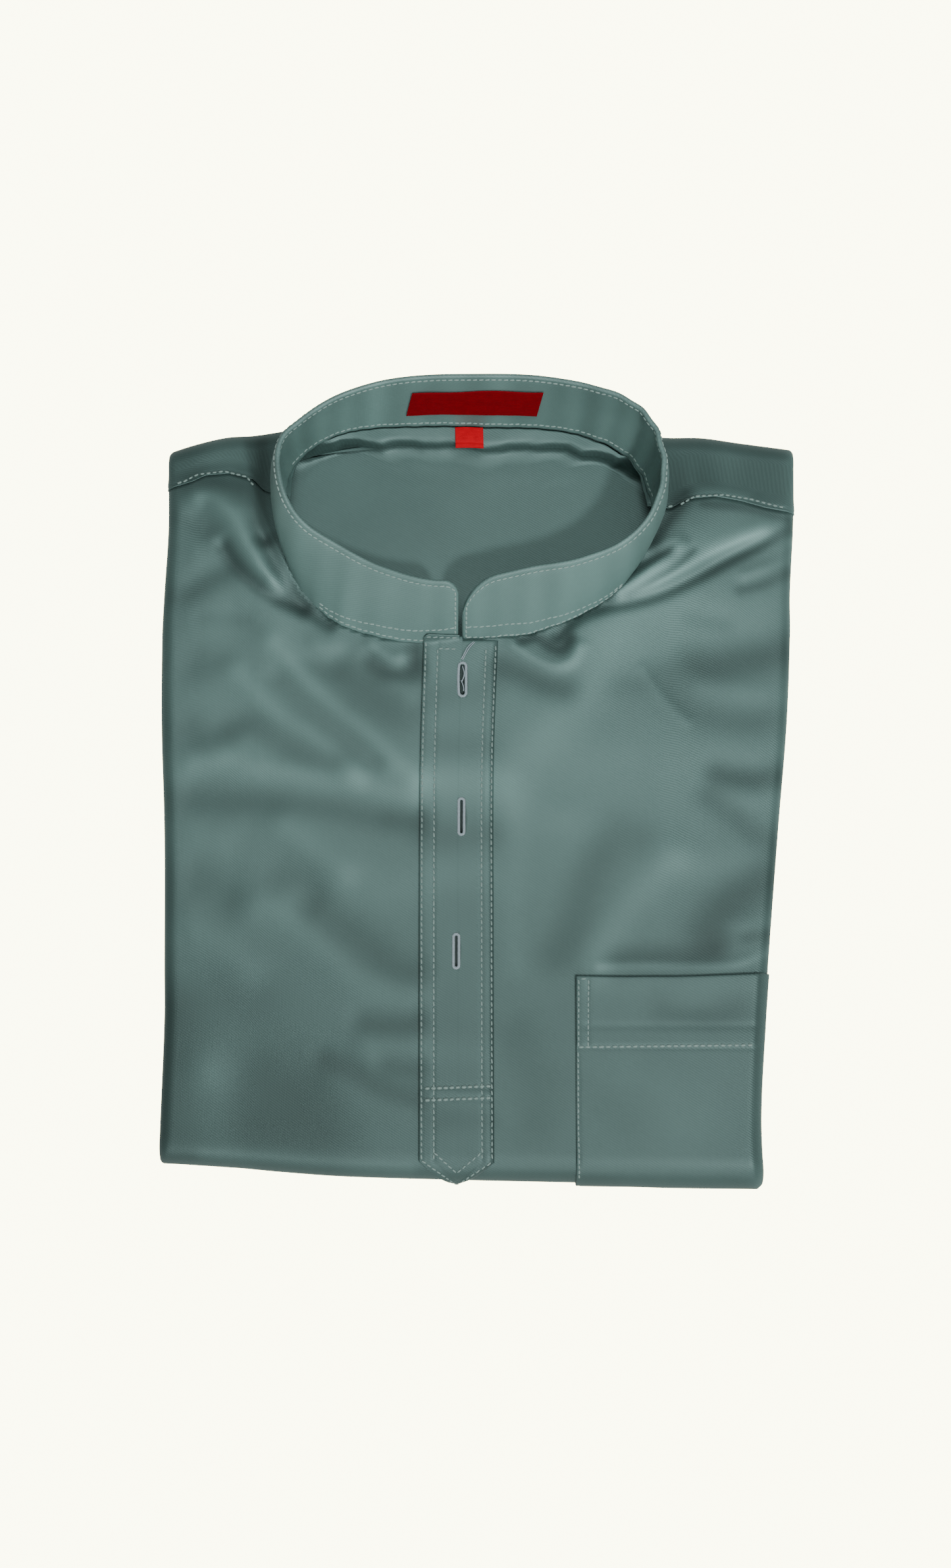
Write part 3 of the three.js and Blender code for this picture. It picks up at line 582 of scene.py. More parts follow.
def curve_through(points):
    """A smooth curve through points, evenly timed, as a function of the station."""
    p = np.array(points, float)
    p = np.vstack([2 * p[0] - p[1], p, 2 * p[-1] - p[-2]])
    gap = np.sqrt(np.linalg.norm(np.diff(p, axis=0), axis=1))

    def read(station):
        station = np.clip(station, 0, len(points) - 1)
        i = np.minimum(station.astype(int), len(points) - 2)
        t = (station - i)[..., None]
        a, b, c, d = p[i], p[i + 1], p[i + 2], p[i + 3]
        g0, g1, g2 = (gap[i + k][..., None] for k in range(3))
        start = ((b - a) / g0 - (c - a) / (g0 + g1) + (c - b) / g1) * g1
        end = ((c - b) / g1 - (d - b) / (g1 + g2) + (d - c) / g2) * g1
        bent = -3 * b + 3 * c - 2 * start - end
        return b + start * t + bent * t**2 + (2 * b - 2 * c + start + end) * t**3

    return read


def fold_line(places, width):
    """Points close together along a fold, run on a little past both of its ends."""
    count = max(4, round(distances(np.array(places))[-1] / FOLD_STEP))
    line = curve_through(places)(np.linspace(0, len(places) - 1, count + 1))
    more = FOLD_FADE / 2 * width
    first = line[0] + unit(line[0] - line[1]) * more
    last = line[-1] + unit(line[-1] - line[-2]) * more
    return np.vstack([first, line, last])


FOLD_LINES = [fold_line(row[HEIGHT + 1 :], row[WIDTH]) for row in FOLDS]


def one_fold(line, width, x, y):
    """A share from 1 on the middle of a fold's line to 0 beside it and at its ends."""
    best = np.full(x.shape, np.inf)
    along = np.zeros(x.shape)
    start = distances(line)
    for i in range(len(line) - 1):
        (ax, ay), (bx, by) = line[i], line[i + 1]
        dx, dy = bx - ax, by - ay
        t = np.clip(((x - ax) * dx + (y - ay) * dy) / (dx * dx + dy * dy), 0, 1)
        away = np.hypot(x - ax - t * dx, y - ay - t * dy)
        nearer = away < best
        best = np.where(nearer, away, best)
        along = np.where(nearer, lerp(start[i], start[i + 1], t), along)
    fade = FOLD_FADE * width
    ends = smooth(along, 0, fade) * smooth(start[-1] - along, 0, fade)
    return ends * hill(best, 0, width)


def all_folds(x, y, column):
    """Sum of the folds at points of the packet, of their painted shading or their height."""
    total = np.zeros(x.shape)
    for row, path in zip(FOLDS, FOLD_LINES):
        if row[column] == 0:
            continue
        width = row[WIDTH]
        line = path + np.array(CREST_SHIFT) * width if column == HEIGHT else path
        low = line.min(axis=0) - FOLD_REACH * width
        high = line.max(axis=0) + FOLD_REACH * width
        near = (x > low[0]) & (x < high[0]) & (y > low[1]) & (y < high[1])
        if near.any():
            total[near] += row[column] * one_fold(line, width, x[near], y[near])
    return total


def satin_painted_shading(points):
    """Painted light and shade of the satin at points of the upper side."""
    x, y, z = points.T
    sides = LEFT_EDGE_PAINTED_SHADING[0] * hill(x, left_edge(y), LEFT_EDGE_PAINTED_SHADING[1])
    sides += RIGHT_EDGE_PAINTED_SHADING[0] * hill(x, right_edge(y), RIGHT_EDGE_PAINTED_SHADING[1])
    lower = LOWER_PAINTED_SHADING * smooth(y, *LOWER_REACH)
    return np.where(z > THICKNESS / 3, all_folds(x, y, PAINTED_SHADING) + sides + lower, 0)


def end_thickness(x):
    """Thickness of the packet at its shoulder fold."""
    return lerp(THICKNESS, SHOULDER_THICKNESS, smooth(abs(x - NECK[0]), *SHOULDER_HALF))


def face_height(x, y):
    """Height of the packet's upper face without its folds."""
    return lerp(THICKNESS, end_thickness(x), smooth(y, *SHOULDER_TAPER))


def face_start(x):
    """Y where the face meets the shoulder fold."""
    return top_edge(x) - end_thickness(x) / 2


def face_end(x):
    """Y where the face meets the bottom fold."""
    return bottom_edge(x) + THICKNESS / 2


def face_top(x, y):
    """Height of the packet's upper face, with its folds and the rise beside the collar."""
    x, y = as_arrays(x, y)
    sides = smooth(x - left_edge(y), *SIDE_EASE) * smooth(right_edge(y) - x, *SIDE_EASE)
    ends = smooth(face_start(x) - y, *SHOULDER_EASE) * smooth(y - face_end(x), *BOTTOM_EASE)
    across = (abs(x - NECK[0]) - NECK_RISE["half"]) / NECK_RISE["spread_x"]
    along = (y - NECK_RISE["y"]) / NECK_RISE["spread_y"]
    rise = NECK_RISE["height"] * np.exp(-(across**2) - along**2)
    return face_height(x, y) + sides * ends * (all_folds(x, y, HEIGHT) + rise)


def along_point(v, x, depth, on_face):
    """Y and height on the way round the packet in side view.

    v = 0 to 1 is under the yoke, to 2 round the shoulder fold, to 3 down the face, to 4
    round the bottom fold and to 5 along the underside.
    """
    start, end = face_start(x), face_end(x)
    top, low = end_thickness(x) / 2, THICKNESS / 2
    upper, lower = math.pi * (v - 1.5), math.pi * (v - 2.5)
    stretch = [v <= 1, v <= 2, v <= 3, v <= 4]
    y = np.select(
        stretch,
        [
            lerp(top_edge(x) - YOKE_UNDER, start, v),
            start + (top - depth) * np.cos(upper),
            lerp(start, end, v - 2),
            end + (low - depth) * np.cos(lower),
        ],
        lerp(end, FRONT_HEM_Y, v - 4),
    )
    level = np.where(on_face, face_top(x, y), face_height(x, y))
    z = np.select(
        stretch,
        [
            depth,
            top + (top - depth) * np.sin(upper),
            level - depth,
            low + (low - depth) * np.sin(lower),
        ],
        depth,
    )
    return y, z


def v_at(x, y):
    """The way round, v, at a place of the face or of the upper half of either fold."""
    start, end = face_start(x), face_end(x)
    top, low = end_thickness(x) / 2, THICKNESS / 2
    behind = 1.5 + np.arccos(np.clip((y - start) / top, 0, 1)) / math.pi
    before = 2.5 + np.arccos(np.clip((y - end) / low, -1, 0)) / math.pi
    flat = 2 + (start - y) / (start - end)
    return np.where(y > start, behind, np.where(y < end, before, flat))


def side_radius(v, edge, y):
    """Radius of the side folds, pinched flat where they meet the shoulder and bottom folds."""
    shoulder = (end_thickness(edge) - LIP_LEVEL) / 2
    bottom = (THICKNESS - LIP_LEVEL) / 2
    pinch = 1.0
    for share, middle in (BOTTOM_PINCH, SHOULDER_PINCH):
        pinch = pinch - share * hill(v, middle, PINCH_SPREAD)
    return pinch * np.select(
        [v <= 2, v <= 3],
        [
            lerp(UNDER_ROLL, shoulder, np.clip(v - 1, 0, 1)),
            (face_height(edge, y) - LIP_LEVEL) / 2,
        ],
        lerp(bottom, UNDER_ROLL, np.clip(v - 3, 0, 1)),
    )


def plan_y(v, x):
    """Y at the way round, v."""
    return along_point(v, x, np.zeros(x.shape), np.zeros(x.shape, bool))[0]


def width_at(v, near_x):
    """Both side edges and the radius of both side folds at the way round, v."""
    y = plan_y(v, near_x)
    left, right = left_edge(y), right_edge(y)
    return left, right, side_radius(v, left, y), side_radius(v, right, y)


def cloth_point(u, v, out=0.0):
    """Points of the cloth, lifted off the face by out.

    u = 0 to 1 crosses the face, -1 and 2 end the side folds, and -2 and 3 the turned-in lips.
    """
    u, v, out = as_arrays(u, v, out)
    on_left = u < 0.5
    past = np.where(on_left, -u, u - 1)
    across = lerp(left_edge(0), right_edge(0), np.clip(u, 0, 1))
    near_x = across + LIP_TURN * (np.maximum(0, -u) - np.maximum(0, u - 1))
    left, right, left_radius, right_radius = width_at(v, near_x)
    radius = np.where(on_left, left_radius, right_radius)
    angle = math.pi * (0.5 + np.clip(past, 0, 1))
    lip = radius + LIP * (past - 1)
    from_edge = np.where(past > 1, lip, radius + (radius + out) * np.cos(angle))
    turned_depth = radius - (radius + out) * np.sin(angle)
    depth = np.select([past > 1, past > 0], [2 * radius + out, turned_depth], -out)
    turned = np.where(on_left, left + from_edge, right - from_edge)
    flat = lerp(left + left_radius, right - right_radius, u)
    x = np.where(past > 0, turned, flat)
    y, z = along_point(v, x, depth, past <= 0)
    return np.stack([x, y, z], axis=-1)


def share_across(x, v):
    """u of the face at x."""
    left, right, left_radius, right_radius = width_at(v, x)
    return (x - left - left_radius) / (right - right_radius - left - left_radius)


def face_point(x, y, out=0.0):
    """A point over the packet's face at a place of its plan."""
    x, y, out = as_arrays(x, y, out)
    v = v_at(x, y)
    return cloth_point(share_across(x, v), v, out)


band_base = curve_through([row[:3] for row in COLLAR])
band_top = curve_through([row[3:] for row in COLLAR])


def band_outward(station):
    """The level way out of the neck, square to the band's lower edge."""
    step = 0.01
    at = np.clip(station, step, LAST_STATION - step)
    along = band_base(at + step) - band_base(at - step)
    flat = np.stack([-along[..., 1], along[..., 0], np.zeros(station.shape)], axis=-1)
    return unit(flat)


def band_waves(station, share):
    """Soft upright waves in the band, stronger inside at the right."""
    right = RIGHT_WAVE * hill(station, 16.4, 1.8)
    front = FRONT_WAVE * (hill(station, 1.2, 1.1) + hill(station, 22.6, 1.1))
    wave = right * np.sin(7.3 * station + 1.2 * share)
    wave += front * (1 - share) * np.sin(5.1 * station + 0.8)
    pucker = PUCKER * (1 - share) ** 3 * np.sin(15 * station + np.sin(4 * station))
    return wave + pucker + LONG_WAVE * np.sin(2.9 * station + 2 * share)


def band_face(station, share):
    """Points of the band's outer face, from 0 at its lower edge to 1 at its upper one."""
    foot = band_base(station)
    base = foot.copy()
    base[..., 2] = face_top(foot[..., 0], foot[..., 1]) - BAND_TUCK
    point = lerp(base, band_top(station), share[..., None])
    lift = foot[..., 2] * 4 * share * (1 - share) + band_waves(station, share)
    return point + band_outward(station) * lift[..., None]


def band_normal(station, share):
    """The way out of the band's face."""
    step = 0.02
    along = band_face(station + step, share) - band_face(station - step, share)
    up = band_face(station, share + step) - band_face(station, share - step)
    normal = unit(np.cross(along, up))
    inwards = (normal * band_outward(station)).sum(axis=-1) < 0
    return np.where(inwards[..., None], -normal, normal)


def band_point(station, share, inset=0.0):
    """Points at a depth inside the band's outer face."""
    station, share, inset = as_arrays(station, share, inset)
    return band_face(station, share) - band_normal(station, share) * inset[..., None]


def band_share(station):
    """The band's full width, rounded off at its two front ends."""

    def corner(distance, along, down):
        out = np.clip(1 - distance / along, 0, 1)
        return down / BAND_WIDTH * (1 - np.sqrt(1 - out * out))

    left = corner(station * END_STATION_LENGTH, *LEFT_CORNER)
    right = corner((LAST_STATION - station) * END_STATION_LENGTH, *RIGHT_CORNER)
    return 1 - left - right


def neck_loop(count, inset):
    """The plan of the neck, inside the band's outer lower edge."""
    station = np.linspace(0, LAST_STATION, count)
    return (band_point(station, np.zeros(count)) - band_outward(station) * inset)[:, :2]


def quads(rows, columns, round_rows=False, offset=0):
    """Faces of a grid of points."""
    i = np.arange(rows * columns).reshape(rows, columns) + offset
    if round_rows:
        i = np.concatenate([i, i[:, :1]], axis=1)
    return np.stack([i[:-1, :-1], i[:-1, 1:], i[1:, 1:], i[1:, :-1]], axis=-1).reshape(-1, 4)


def joining(ring, offset):
    """Faces between a closed line of points and the same line in a second grid."""
    after = np.roll(ring, -1)
    return np.stack([after, ring, ring + offset, after + offset], axis=1)


def facing_out(points, faces):
    """The faces of a closed mesh, turned round if it was inside out."""
    a, b, c, d = (points[faces[:, k]] for k in range(4))
    volume = (a * np.cross(b, c)).sum() + (a * np.cross(c, d)).sum()
    return faces[:, ::-1] if volume < 0 else faces


def make_object(name, points, faces, uv, material, painted_shading=None):
    """A smooth mesh object in metres from points in millimetres."""
    mesh = bpy.data.meshes.new(name)
    mesh.from_pydata((points * MM).tolist(), [], faces.tolist())
    layer = mesh.uv_layers.new(name="cloth")
    corner = np.zeros(len(mesh.loops), np.int32)
    mesh.loops.foreach_get("vertex_index", corner)
    layer.data.foreach_set("uv", (uv[corner] * MM).astype(np.float32).ravel())
    # Painted light and shade kept at each point, for the material to use
    shade = mesh.attributes.new("painted_shading", "FLOAT", "POINT")
    shade.data.foreach_set("value", np.zeros(len(points)) if painted_shading is None else painted_shading)
    mesh.validate()
    mesh.materials.append(material)
    mesh.shade_smooth()
    piece = bpy.data.objects.new(name, mesh)
    bpy.context.collection.objects.link(piece)
    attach(piece, "root")
    return piece


def cloth_wall(name, outer, inner, uv, material, painted_shading=None):
    """A closed wall of cloth between two grids of points that meet at all their edges."""
    rows, columns = outer.shape[:2]
    offset = rows * columns
    ring = np.concatenate(
        [
            np.arange(columns),
            np.arange(1, rows) * columns + columns - 1,
            (rows - 1) * columns + np.arange(columns - 2, -1, -1),
            np.arange(rows - 2, 0, -1) * columns,
        ]
    )
    back = quads(rows, columns, offset=offset)[:, ::-1]
    points = np.concatenate([outer.reshape(-1, 3), inner.reshape(-1, 3)])
    faces = np.concatenate([quads(rows, columns), back, joining(ring, offset)])
    both = np.concatenate([uv.reshape(-1, 2)] * 2)
    shade = None if painted_shading is None else painted_shading(points)
    return make_object(name, points, facing_out(points, faces), both, material, shade)


def weld_middle(piece):
    """Joins the points that meet in the middle of a round grid."""
    weld = piece.modifiers.new("middle", "WELD")
    weld.merge_threshold = MIDDLE_WELD


def steps(length, cell, rounding=0.6):
    """Distances along a side, close together where its two edges are rounded."""
    edge = rounding * (1 - np.cos(np.linspace(0, math.pi / 2, 5)))
    count = max(2, round((length - 2 * rounding) / cell))
    middle = np.linspace(rounding, length - rounding, count + 1)
    return np.concatenate([edge[:-1], middle, (length - edge)[-2::-1]])


def roundness(distance, rounding=0.6):
    """From 0 at a rounded edge to 1 on the full thickness of the cloth."""
    out = np.clip(1 - distance / rounding, 0, 1)
    return np.sqrt(1 - out * out)


def from_edges(across, along):
    """Distance of each point of a grid from the grid's nearest edge."""
    u, v = across[None, :], along[:, None]
    return np.minimum(np.minimum(u, u[0, -1] - u), np.minimum(v, v[-1, 0] - v))


def groove(distance, depth, width):
    """How a row of stitches draws the cloth in beside it."""
    return -depth * np.exp(-((distance / width) ** 2))


# Stitches


def resample(points, pitch):
    """Middles and directions of stitches a pitch apart along a line of points."""
    along = distances(points)
    count = max(1, int(along[-1] / pitch))
    at = (np.arange(count) + 0.5) * along[-1] / count

    def read(s):
        return np.stack([np.interp(s, along, points[:, k]) for k in range(3)], axis=1)

    half = 0.3 * pitch
    return read(at), unit(read(at + half) - read(at - half)), at / along[-1]


def stitch_shape(length, width, height):
    """One stitch: a plump bar with rounded ends, as rings of points along X."""
    ends = np.array([-0.5, -0.42, -0.2, 0.2, 0.42, 0.5])
    full = np.array([0.35, 0.8, 1, 1, 0.8, 0.35])
    turn = np.linspace(0, 2 * math.pi, STITCH_SIDES, endpoint=False)
    x = np.repeat(ends * length, STITCH_SIDES)
    y = np.outer(full, np.cos(turn)).ravel() * width / 2
    z = np.outer(full, np.sin(turn)).ravel() * height
    cap = np.array([[0, 1, 2, 3], [0, 3, 4, 5]])
    far_cap = cap[:, ::-1] + STITCH_SIDES * (len(ends) - 1)
    faces = np.concatenate([quads(len(ends), STITCH_SIDES, round_rows=True), cap, far_cap])
    return np.stack([x, y, z], axis=1), faces[:, ::-1]


def placed_stitches(row, seed):
    """Points of all the stitches of a row, and the faces of one."""
    line, normals, pitch, width, slant = row
    middle, along, share = resample(line, pitch)
    key = np.linspace(0, 1, len(normals))
    up = unit(np.stack([np.interp(share, key, normals[:, k]) for k in range(3)], axis=1))
    across = unit(np.cross(up, along))
    shape, faces = stitch_shape(pitch * STITCH_LENGTH, width, width * STITCH_HEIGHT)
    turn = slant + seed.normal(0, UNEVEN_TURN, len(middle))
    c, s = np.cos(turn)[:, None], np.sin(turn)[:, None]
    ways = np.stack([along * c + across * s, across * c - along * s, up], axis=1)
    size = 1 + seed.normal(0, UNEVEN_SIZE, len(middle))[:, None, None]
    return middle[:, None] + shape @ ways * size, faces


def stitches(name, rows, material):
    """Rows of stitches as one piece. A row is a line, its normals, pitch, width and slant."""
    points, faces = [], []
    seed = np.random.default_rng(7)
    for row in rows:
        placed, one = placed_stitches(row, seed)
        starts = np.arange(len(placed)) * placed.shape[1] + sum(map(len, points))
        faces.append((one + starts[:, None, None]).reshape(-1, 4))
        points.append(placed.reshape(-1, 3))
    points, faces = np.concatenate(points), np.concatenate(faces)
    return make_object(name, points, faces, points[:, :2], material)


def on_surface(surface, x, y, lift=0.05):
    """A line over a surface given by plan, with the surface's normals along it."""
    step = 0.4
    x, y = np.asarray(x, float), np.asarray(y, float)
    across = surface(x + step, y) - surface(x - step, y)
    along = surface(x, y + step) - surface(x, y - step)
    normal = unit(np.cross(across, along))
    return surface(x, y) + normal * lift, normal


def between(points, spacing=1.5):
    """Plan points close together along a chain of corners."""
    corners = np.array(points, float)
    along = distances(corners)
    at = np.linspace(0, along[-1], max(2, int(along[-1] / spacing)))
    return np.interp(at, along, corners[:, 0]), np.interp(at, along, corners[:, 1])


# Materials


def fill(tree, made, inputs):
    """Gives each input of a node its value, or links another node's output to it."""
    for name, value in inputs.items():
        if isinstance(value, bpy.types.NodeSocket):
            tree.links.new(value, made.inputs[name])
        else:
            made.inputs[name].default_value = value


def node(tree, kind, inputs=None, **settings):
    """A new shader node with its inputs filled."""
    made = tree.nodes.new(kind)
    for name, value in settings.items():
        setattr(made, name, value)
    fill(tree, made, inputs or {})
    return made


def mixed(tree, share, first, second, blend="MIX"):
    """One colour or another, by a share."""
    inputs = {0: share, 6: first, 7: second}
    made = node(tree, "ShaderNodeMix", inputs, data_type="RGBA", blend_type=blend)
    return made.outputs[2]


def scaled_colour(colour, by):
    return tuple(c * by for c in colour) + (1,)


def varied(tree, share, colour, low, high):
    """A colour that runs from darker to lighter, by a share."""
    return mixed(tree, share, scaled_colour(colour, low), scaled_colour(colour, high))


def calculated(tree, operation, *values):
    inputs = dict(enumerate(values))
    return node(tree, "ShaderNodeMath", inputs, operation=operation).outputs[0]


def noise(tree, place, scale, detail):
    inputs = {"Vector": place, "Scale": scale, "Detail": detail}
    return node(tree, "ShaderNodeTexNoise", inputs).outputs["Fac"]


def bumped(tree, height, strength, distance):
    inputs = {"Height": height, "Strength": strength, "Distance": distance}
    return node(tree, "ShaderNodeBump", inputs).outputs["Normal"]


def ramp(tree, value, low, high, first=0, last=1):
    """A value taken from one range to another."""
    inputs = {"Value": value, "From Min": low, "From Max": high, "To Min": first, "To Max": last}
    return node(tree, "ShaderNodeMapRange", inputs).outputs["Result"]


def new_material(name):
    material = bpy.data.materials.new(name)
    material.use_nodes = True
    tree = material.node_tree
    return material, tree, tree.nodes["Principled BSDF"]


def twill(tree, uv):
    """Fine slanting ribs and faint upright threads."""
    slant = {"Vector": uv, "Rotation": (0, 0, math.radians(TWILL_ANGLE))}
    slanted = node(tree, "ShaderNodeMapping", slant).outputs["Vector"]
    wave = {"Vector": slanted, "Scale": 330, "Distortion": 1.2, "Detail": 1, "Detail Scale": 2}
    ribs = node(tree, "ShaderNodeTexWave", wave).outputs["Fac"]
    stretch = {"Vector": uv, "Scale": (1500, 90, 1)}
    stretched = node(tree, "ShaderNodeMapping", stretch).outputs["Vector"]
    return ribs, noise(tree, stretched, 1, 2)


def satin_shade(tree, colour):
    """A colour made lighter or darker by the painted light and shade kept on the mesh."""
    painted_shading = node(tree, "ShaderNodeAttribute", attribute_name="painted_shading").outputs["Fac"]
    by = calculated(tree, "EXPONENT", calculated(tree, "MULTIPLY", painted_shading, PAINTED_SHADING_SHARE))
    inputs = {"Vector": colour, "Scale": by}
    return node(tree, "ShaderNodeVectorMath", inputs, operation="SCALE").outputs["Vector"]


def cloth_material(name, colour, roughness, satin):
    """Satin twill with soft uneven dye and the painted light and shade kept on the mesh."""
    material, tree, shader = new_material(name)
    uv = node(tree, "ShaderNodeTexCoord").outputs["UV"]
    ribs, threads = twill(tree, uv)
    cloud = noise(tree, uv, 28, 3)
    dyed = varied(tree, ramp(tree, cloud, 0.3, 0.7), colour, 0.93, 1.07)
    ribbed = mixed(tree, 1, dyed, varied(tree, ribs, WHITE, 0.91, 1.03), "MULTIPLY")
    cloth = mixed(tree, 1, ribbed, varied(tree, threads, WHITE, 0.96, 1), "MULTIPLY")
    looks = {
        "Base Color": satin_shade(tree, cloth),
        "Normal": bumped(tree, calculated(tree, "ADD", ribs, threads), 0.16, 0.0002),
        "Roughness": ramp(tree, cloud, 0, 1, roughness - 0.04, roughness + 0.04),
        "Metallic": satin,
        "Sheen Weight": 0.08,
        "Sheen Roughness": 0.5,
        "Sheen Tint": scaled_colour(colour, 2),
        "Specular IOR Level": 0.4,
    }
    fill(tree, shader, looks)
    return material


def thread_material(name, colour):
    """Spun thread, twisted round its length."""
    material, tree, shader = new_material(name)
    place = node(tree, "ShaderNodeTexCoord").outputs["Object"]
    twist = noise(tree, place, 1800, 2)
    looks = {
        "Base Color": varied(tree, twist, colour, 0.8, 1.15),
        "Normal": bumped(tree, twist, 0.4, 0.0001),
        "Roughness": 0.5,
        "Sheen Weight": 0.3,
    }
    fill(tree, shader, looks)
    return material


def label_material(name, colour):
    """A woven label with close level ribs."""
    material, tree, shader = new_material(name)
    uv = node(tree, "ShaderNodeTexCoord").outputs["UV"]
    wave = {"Vector": uv, "Scale": 520, "Distortion": 0.6, "Detail": 1}
    ribs = node(tree, "ShaderNodeTexWave", wave, bands_direction="Y").outputs["Fac"]
    looks = {
        "Base Color": varied(tree, noise(tree, uv, 300, 4), colour, 0.75, 1.2),
        "Normal": bumped(tree, ribs, 0.35, 0.0002),
        "Roughness": 0.7,
        "Specular IOR Level": 0.1,
        "Sheen Weight": 0.1,
        "Sheen Tint": scaled_colour(colour, 1),
    }
    fill(tree, shader, looks)
    return material


shirt_cloth = cloth_material("sage_satin_twill", SAGE, 0.5, 0.5)
# The collar's cloth takes the lighter sage, as painted light
lit_collar_cloth = cloth_material("sage_collar_twill_painted_lighter", LIT_COLLAR_SAGE, 0.52, 0.15)
sage_thread = thread_material("sage_thread", SAGE_THREAD)
collar_thread = thread_material("pale_sage_thread", COLLAR_THREAD)
blue_thread = thread_material("blue_grey_thread", BLUE_THREAD)
neck_label_cloth = label_material("dark_red_label", DARK_RED)
small_label_cloth = label_material("bright_red_label", BRIGHT_RED)


# The pieces of the shirt


def side_columns(face):
    """u of the columns of a piece that turns round both side folds."""
    turn = np.linspace(0, 1, 9)
    lip = np.linspace(0, 1, 4)[1:]
    return np.concatenate([(-1 - lip)[::-1], -turn[:0:-1], face, 1 + turn[1:], 2 + lip])


def cloth_uv(points):
    """Flat cloth coordinates of a grid: lengths across and along it."""
    across = np.linalg.norm(np.diff(points, axis=1), axis=-1).mean(axis=0)
    along = np.linalg.norm(np.diff(points, axis=0), axis=-1)
    middle = along[:, along.shape[1] // 4]
    x = np.concatenate([[0], np.cumsum(across)])
    y = np.concatenate([[0], np.cumsum(middle)])
    return gridded(x, -y)


def cut_neck(points, faces):
    """Pulls the points nearest to the neck's line onto it and drops what lies inside."""
    loop = neck_loop(400, BAND_WALL / 2)
    closed = np.vstack([loop, loop[:1]])
    start, step = closed[:-1], np.diff(closed, axis=0)
    rise = np.where(step[:, 1] == 0, 1e-9, step[:, 1])
    close = (abs(points[:, :2] - NECK) < NECK_SEARCH).all(axis=1)
    inside = np.zeros(len(points), bool)
    for i in np.nonzero((points[:, 2] > THICKNESS / 2) & close)[0]:
        x, y = points[i, :2]
        t = np.clip(((points[i, :2] - start) * step).sum(1) / (step * step).sum(1), 0, 1)
        gap = start + t[:, None] * step - points[i, :2]
        away = np.hypot(gap[:, 0], gap[:, 1])
        passes = (start[:, 1] > y) != (closed[1:, 1] > y)
        crossed = passes & (x < start[:, 0] + step[:, 0] * (y - start[:, 1]) / rise)
        inside[i] = crossed.sum() % 2
        if away.min() < NECK_PULL:
            points[i, :2] += gap[away.argmin()]
            inside[i] = False
    return faces[~inside[faces].any(axis=1)]


def front_way(columns):
    """The way round, v, of the front's points: rows from the seam to the underside's hem."""
    x = lerp(left_edge(SEAM_LEVEL), right_edge(SEAM_LEVEL), np.clip(columns, 0, 1))
    top = v_at(x, seam_y(x) + 0.22)
    face = lerp(top[None, :], 3, np.linspace(0, 1, FRONT_ROWS)[:, None])
    rest = np.concatenate([np.linspace(3, 4, 14)[1:], np.linspace(4, 5, 26)[1:]])
    return np.concatenate([face, np.broadcast_to(rest[:, None], (len(rest), len(columns)))])


def front_body():
    """The front: face, both side folds, bottom fold and underside as one cloth."""
    columns = side_columns(np.linspace(0, 1, FRONT_COLUMNS))
    v = front_way(columns)
    grid = cloth_point(columns[None, :], v)
    uv = cloth_uv(grid).reshape(-1, 2)
    points = grid.reshape(-1, 3).copy()
    faces = cut_neck(points, quads(*v.shape)[:, ::-1])
    # Painted light and shade along the folds and edges
    painted_shading = satin_painted_shading(points)
    piece = make_object("shirt_front", points, faces, uv, shirt_cloth, painted_shading)
    wall = piece.modifiers.new("cloth", "SOLIDIFY")
    wall.thickness = CLOTH * MM
    wall.offset = -1
    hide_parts("front_body")
    return piece


def back_of_neck(x):
    """Y of the band's lower edge behind the neck, at its middle thickness."""
    station = np.linspace(6, 18, 200)
    loop = band_point(station, np.zeros(200)) - band_outward(station) * BAND_WALL / 2
    return np.interp(x, loop[:, 0], loop[:, 1])


def yoke():
    """The yoke, from under the packet round the shoulder fold to its seams."""
    columns = side_columns(np.linspace(0, 1, YOKE_COLUMNS))
    x = lerp(left_edge(YOKE_LEVEL), right_edge(YOKE_LEVEL), np.clip(columns, 0, 1))
    behind = (x > YOKE_BEHIND_BAND[0]) & (x < YOKE_BEHIND_BAND[1])
    stop = np.where(behind, back_of_neck(x), seam_y(x) + SEAM_GAP)
    edge = np.array([8, 6, 4.5, 3.2, 2.2, 1.4, 0.9, 0.55, 0.3, 0.12, 0])
    face = np.linspace(0, 1, YOKE_ROWS)[:-1, None]
    far = face * v_at(x, stop + edge[0])
    v = np.concatenate([far, v_at(x[None, :], stop[None, :] + edge[:, None])])
    seam = np.concatenate([np.full(len(face), 20.0), edge])[:, None]
    rolled = YOKE_ROLL * hill(seam, 0, 5) * roundness(seam, 0.7)
    sewn = rolled + groove(seam - 1.3, *YOKE_GROOVE)
    outer = cloth_point(columns[None, :], v, np.where(behind, 0, sewn))
    inner = cloth_point(columns[None, :], v, -CLOTH)
    uv = cloth_uv(outer)
    piece = cloth_wall("shoulder_yoke", outer, inner, uv, shirt_cloth, satin_painted_shading)
    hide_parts("yoke")
    return piece


def band_stations(count):
    """Stations of the band's columns, closest together at its rounded front ends."""
    ends = np.array([0, 0.006, 0.018, 0.036, 0.06, 0.1, 0.16, 0.24, 0.33, 0.43, 0.55, 0.7, 0.85])
    middle = np.linspace(1, LAST_STATION - 1, count)
    return np.concatenate([ends, middle, LAST_STATION - ends[::-1]])


def band_profile():
    """The band in section: share of its width, and side from 1 outside to -1 inside."""
    round_top = BAND_WALL / 2 / BAND_WIDTH
    up = np.linspace(0, 1 - round_top, BAND_ROWS)
    arc = np.linspace(0, math.pi, 9)[1:-1]
    profile = [(share, 1.0) for share in up]
    profile += [(1 - round_top + round_top * math.sin(a), math.cos(a)) for a in arc]
    return profile + [(share, -1.0) for share in up[::-1]]


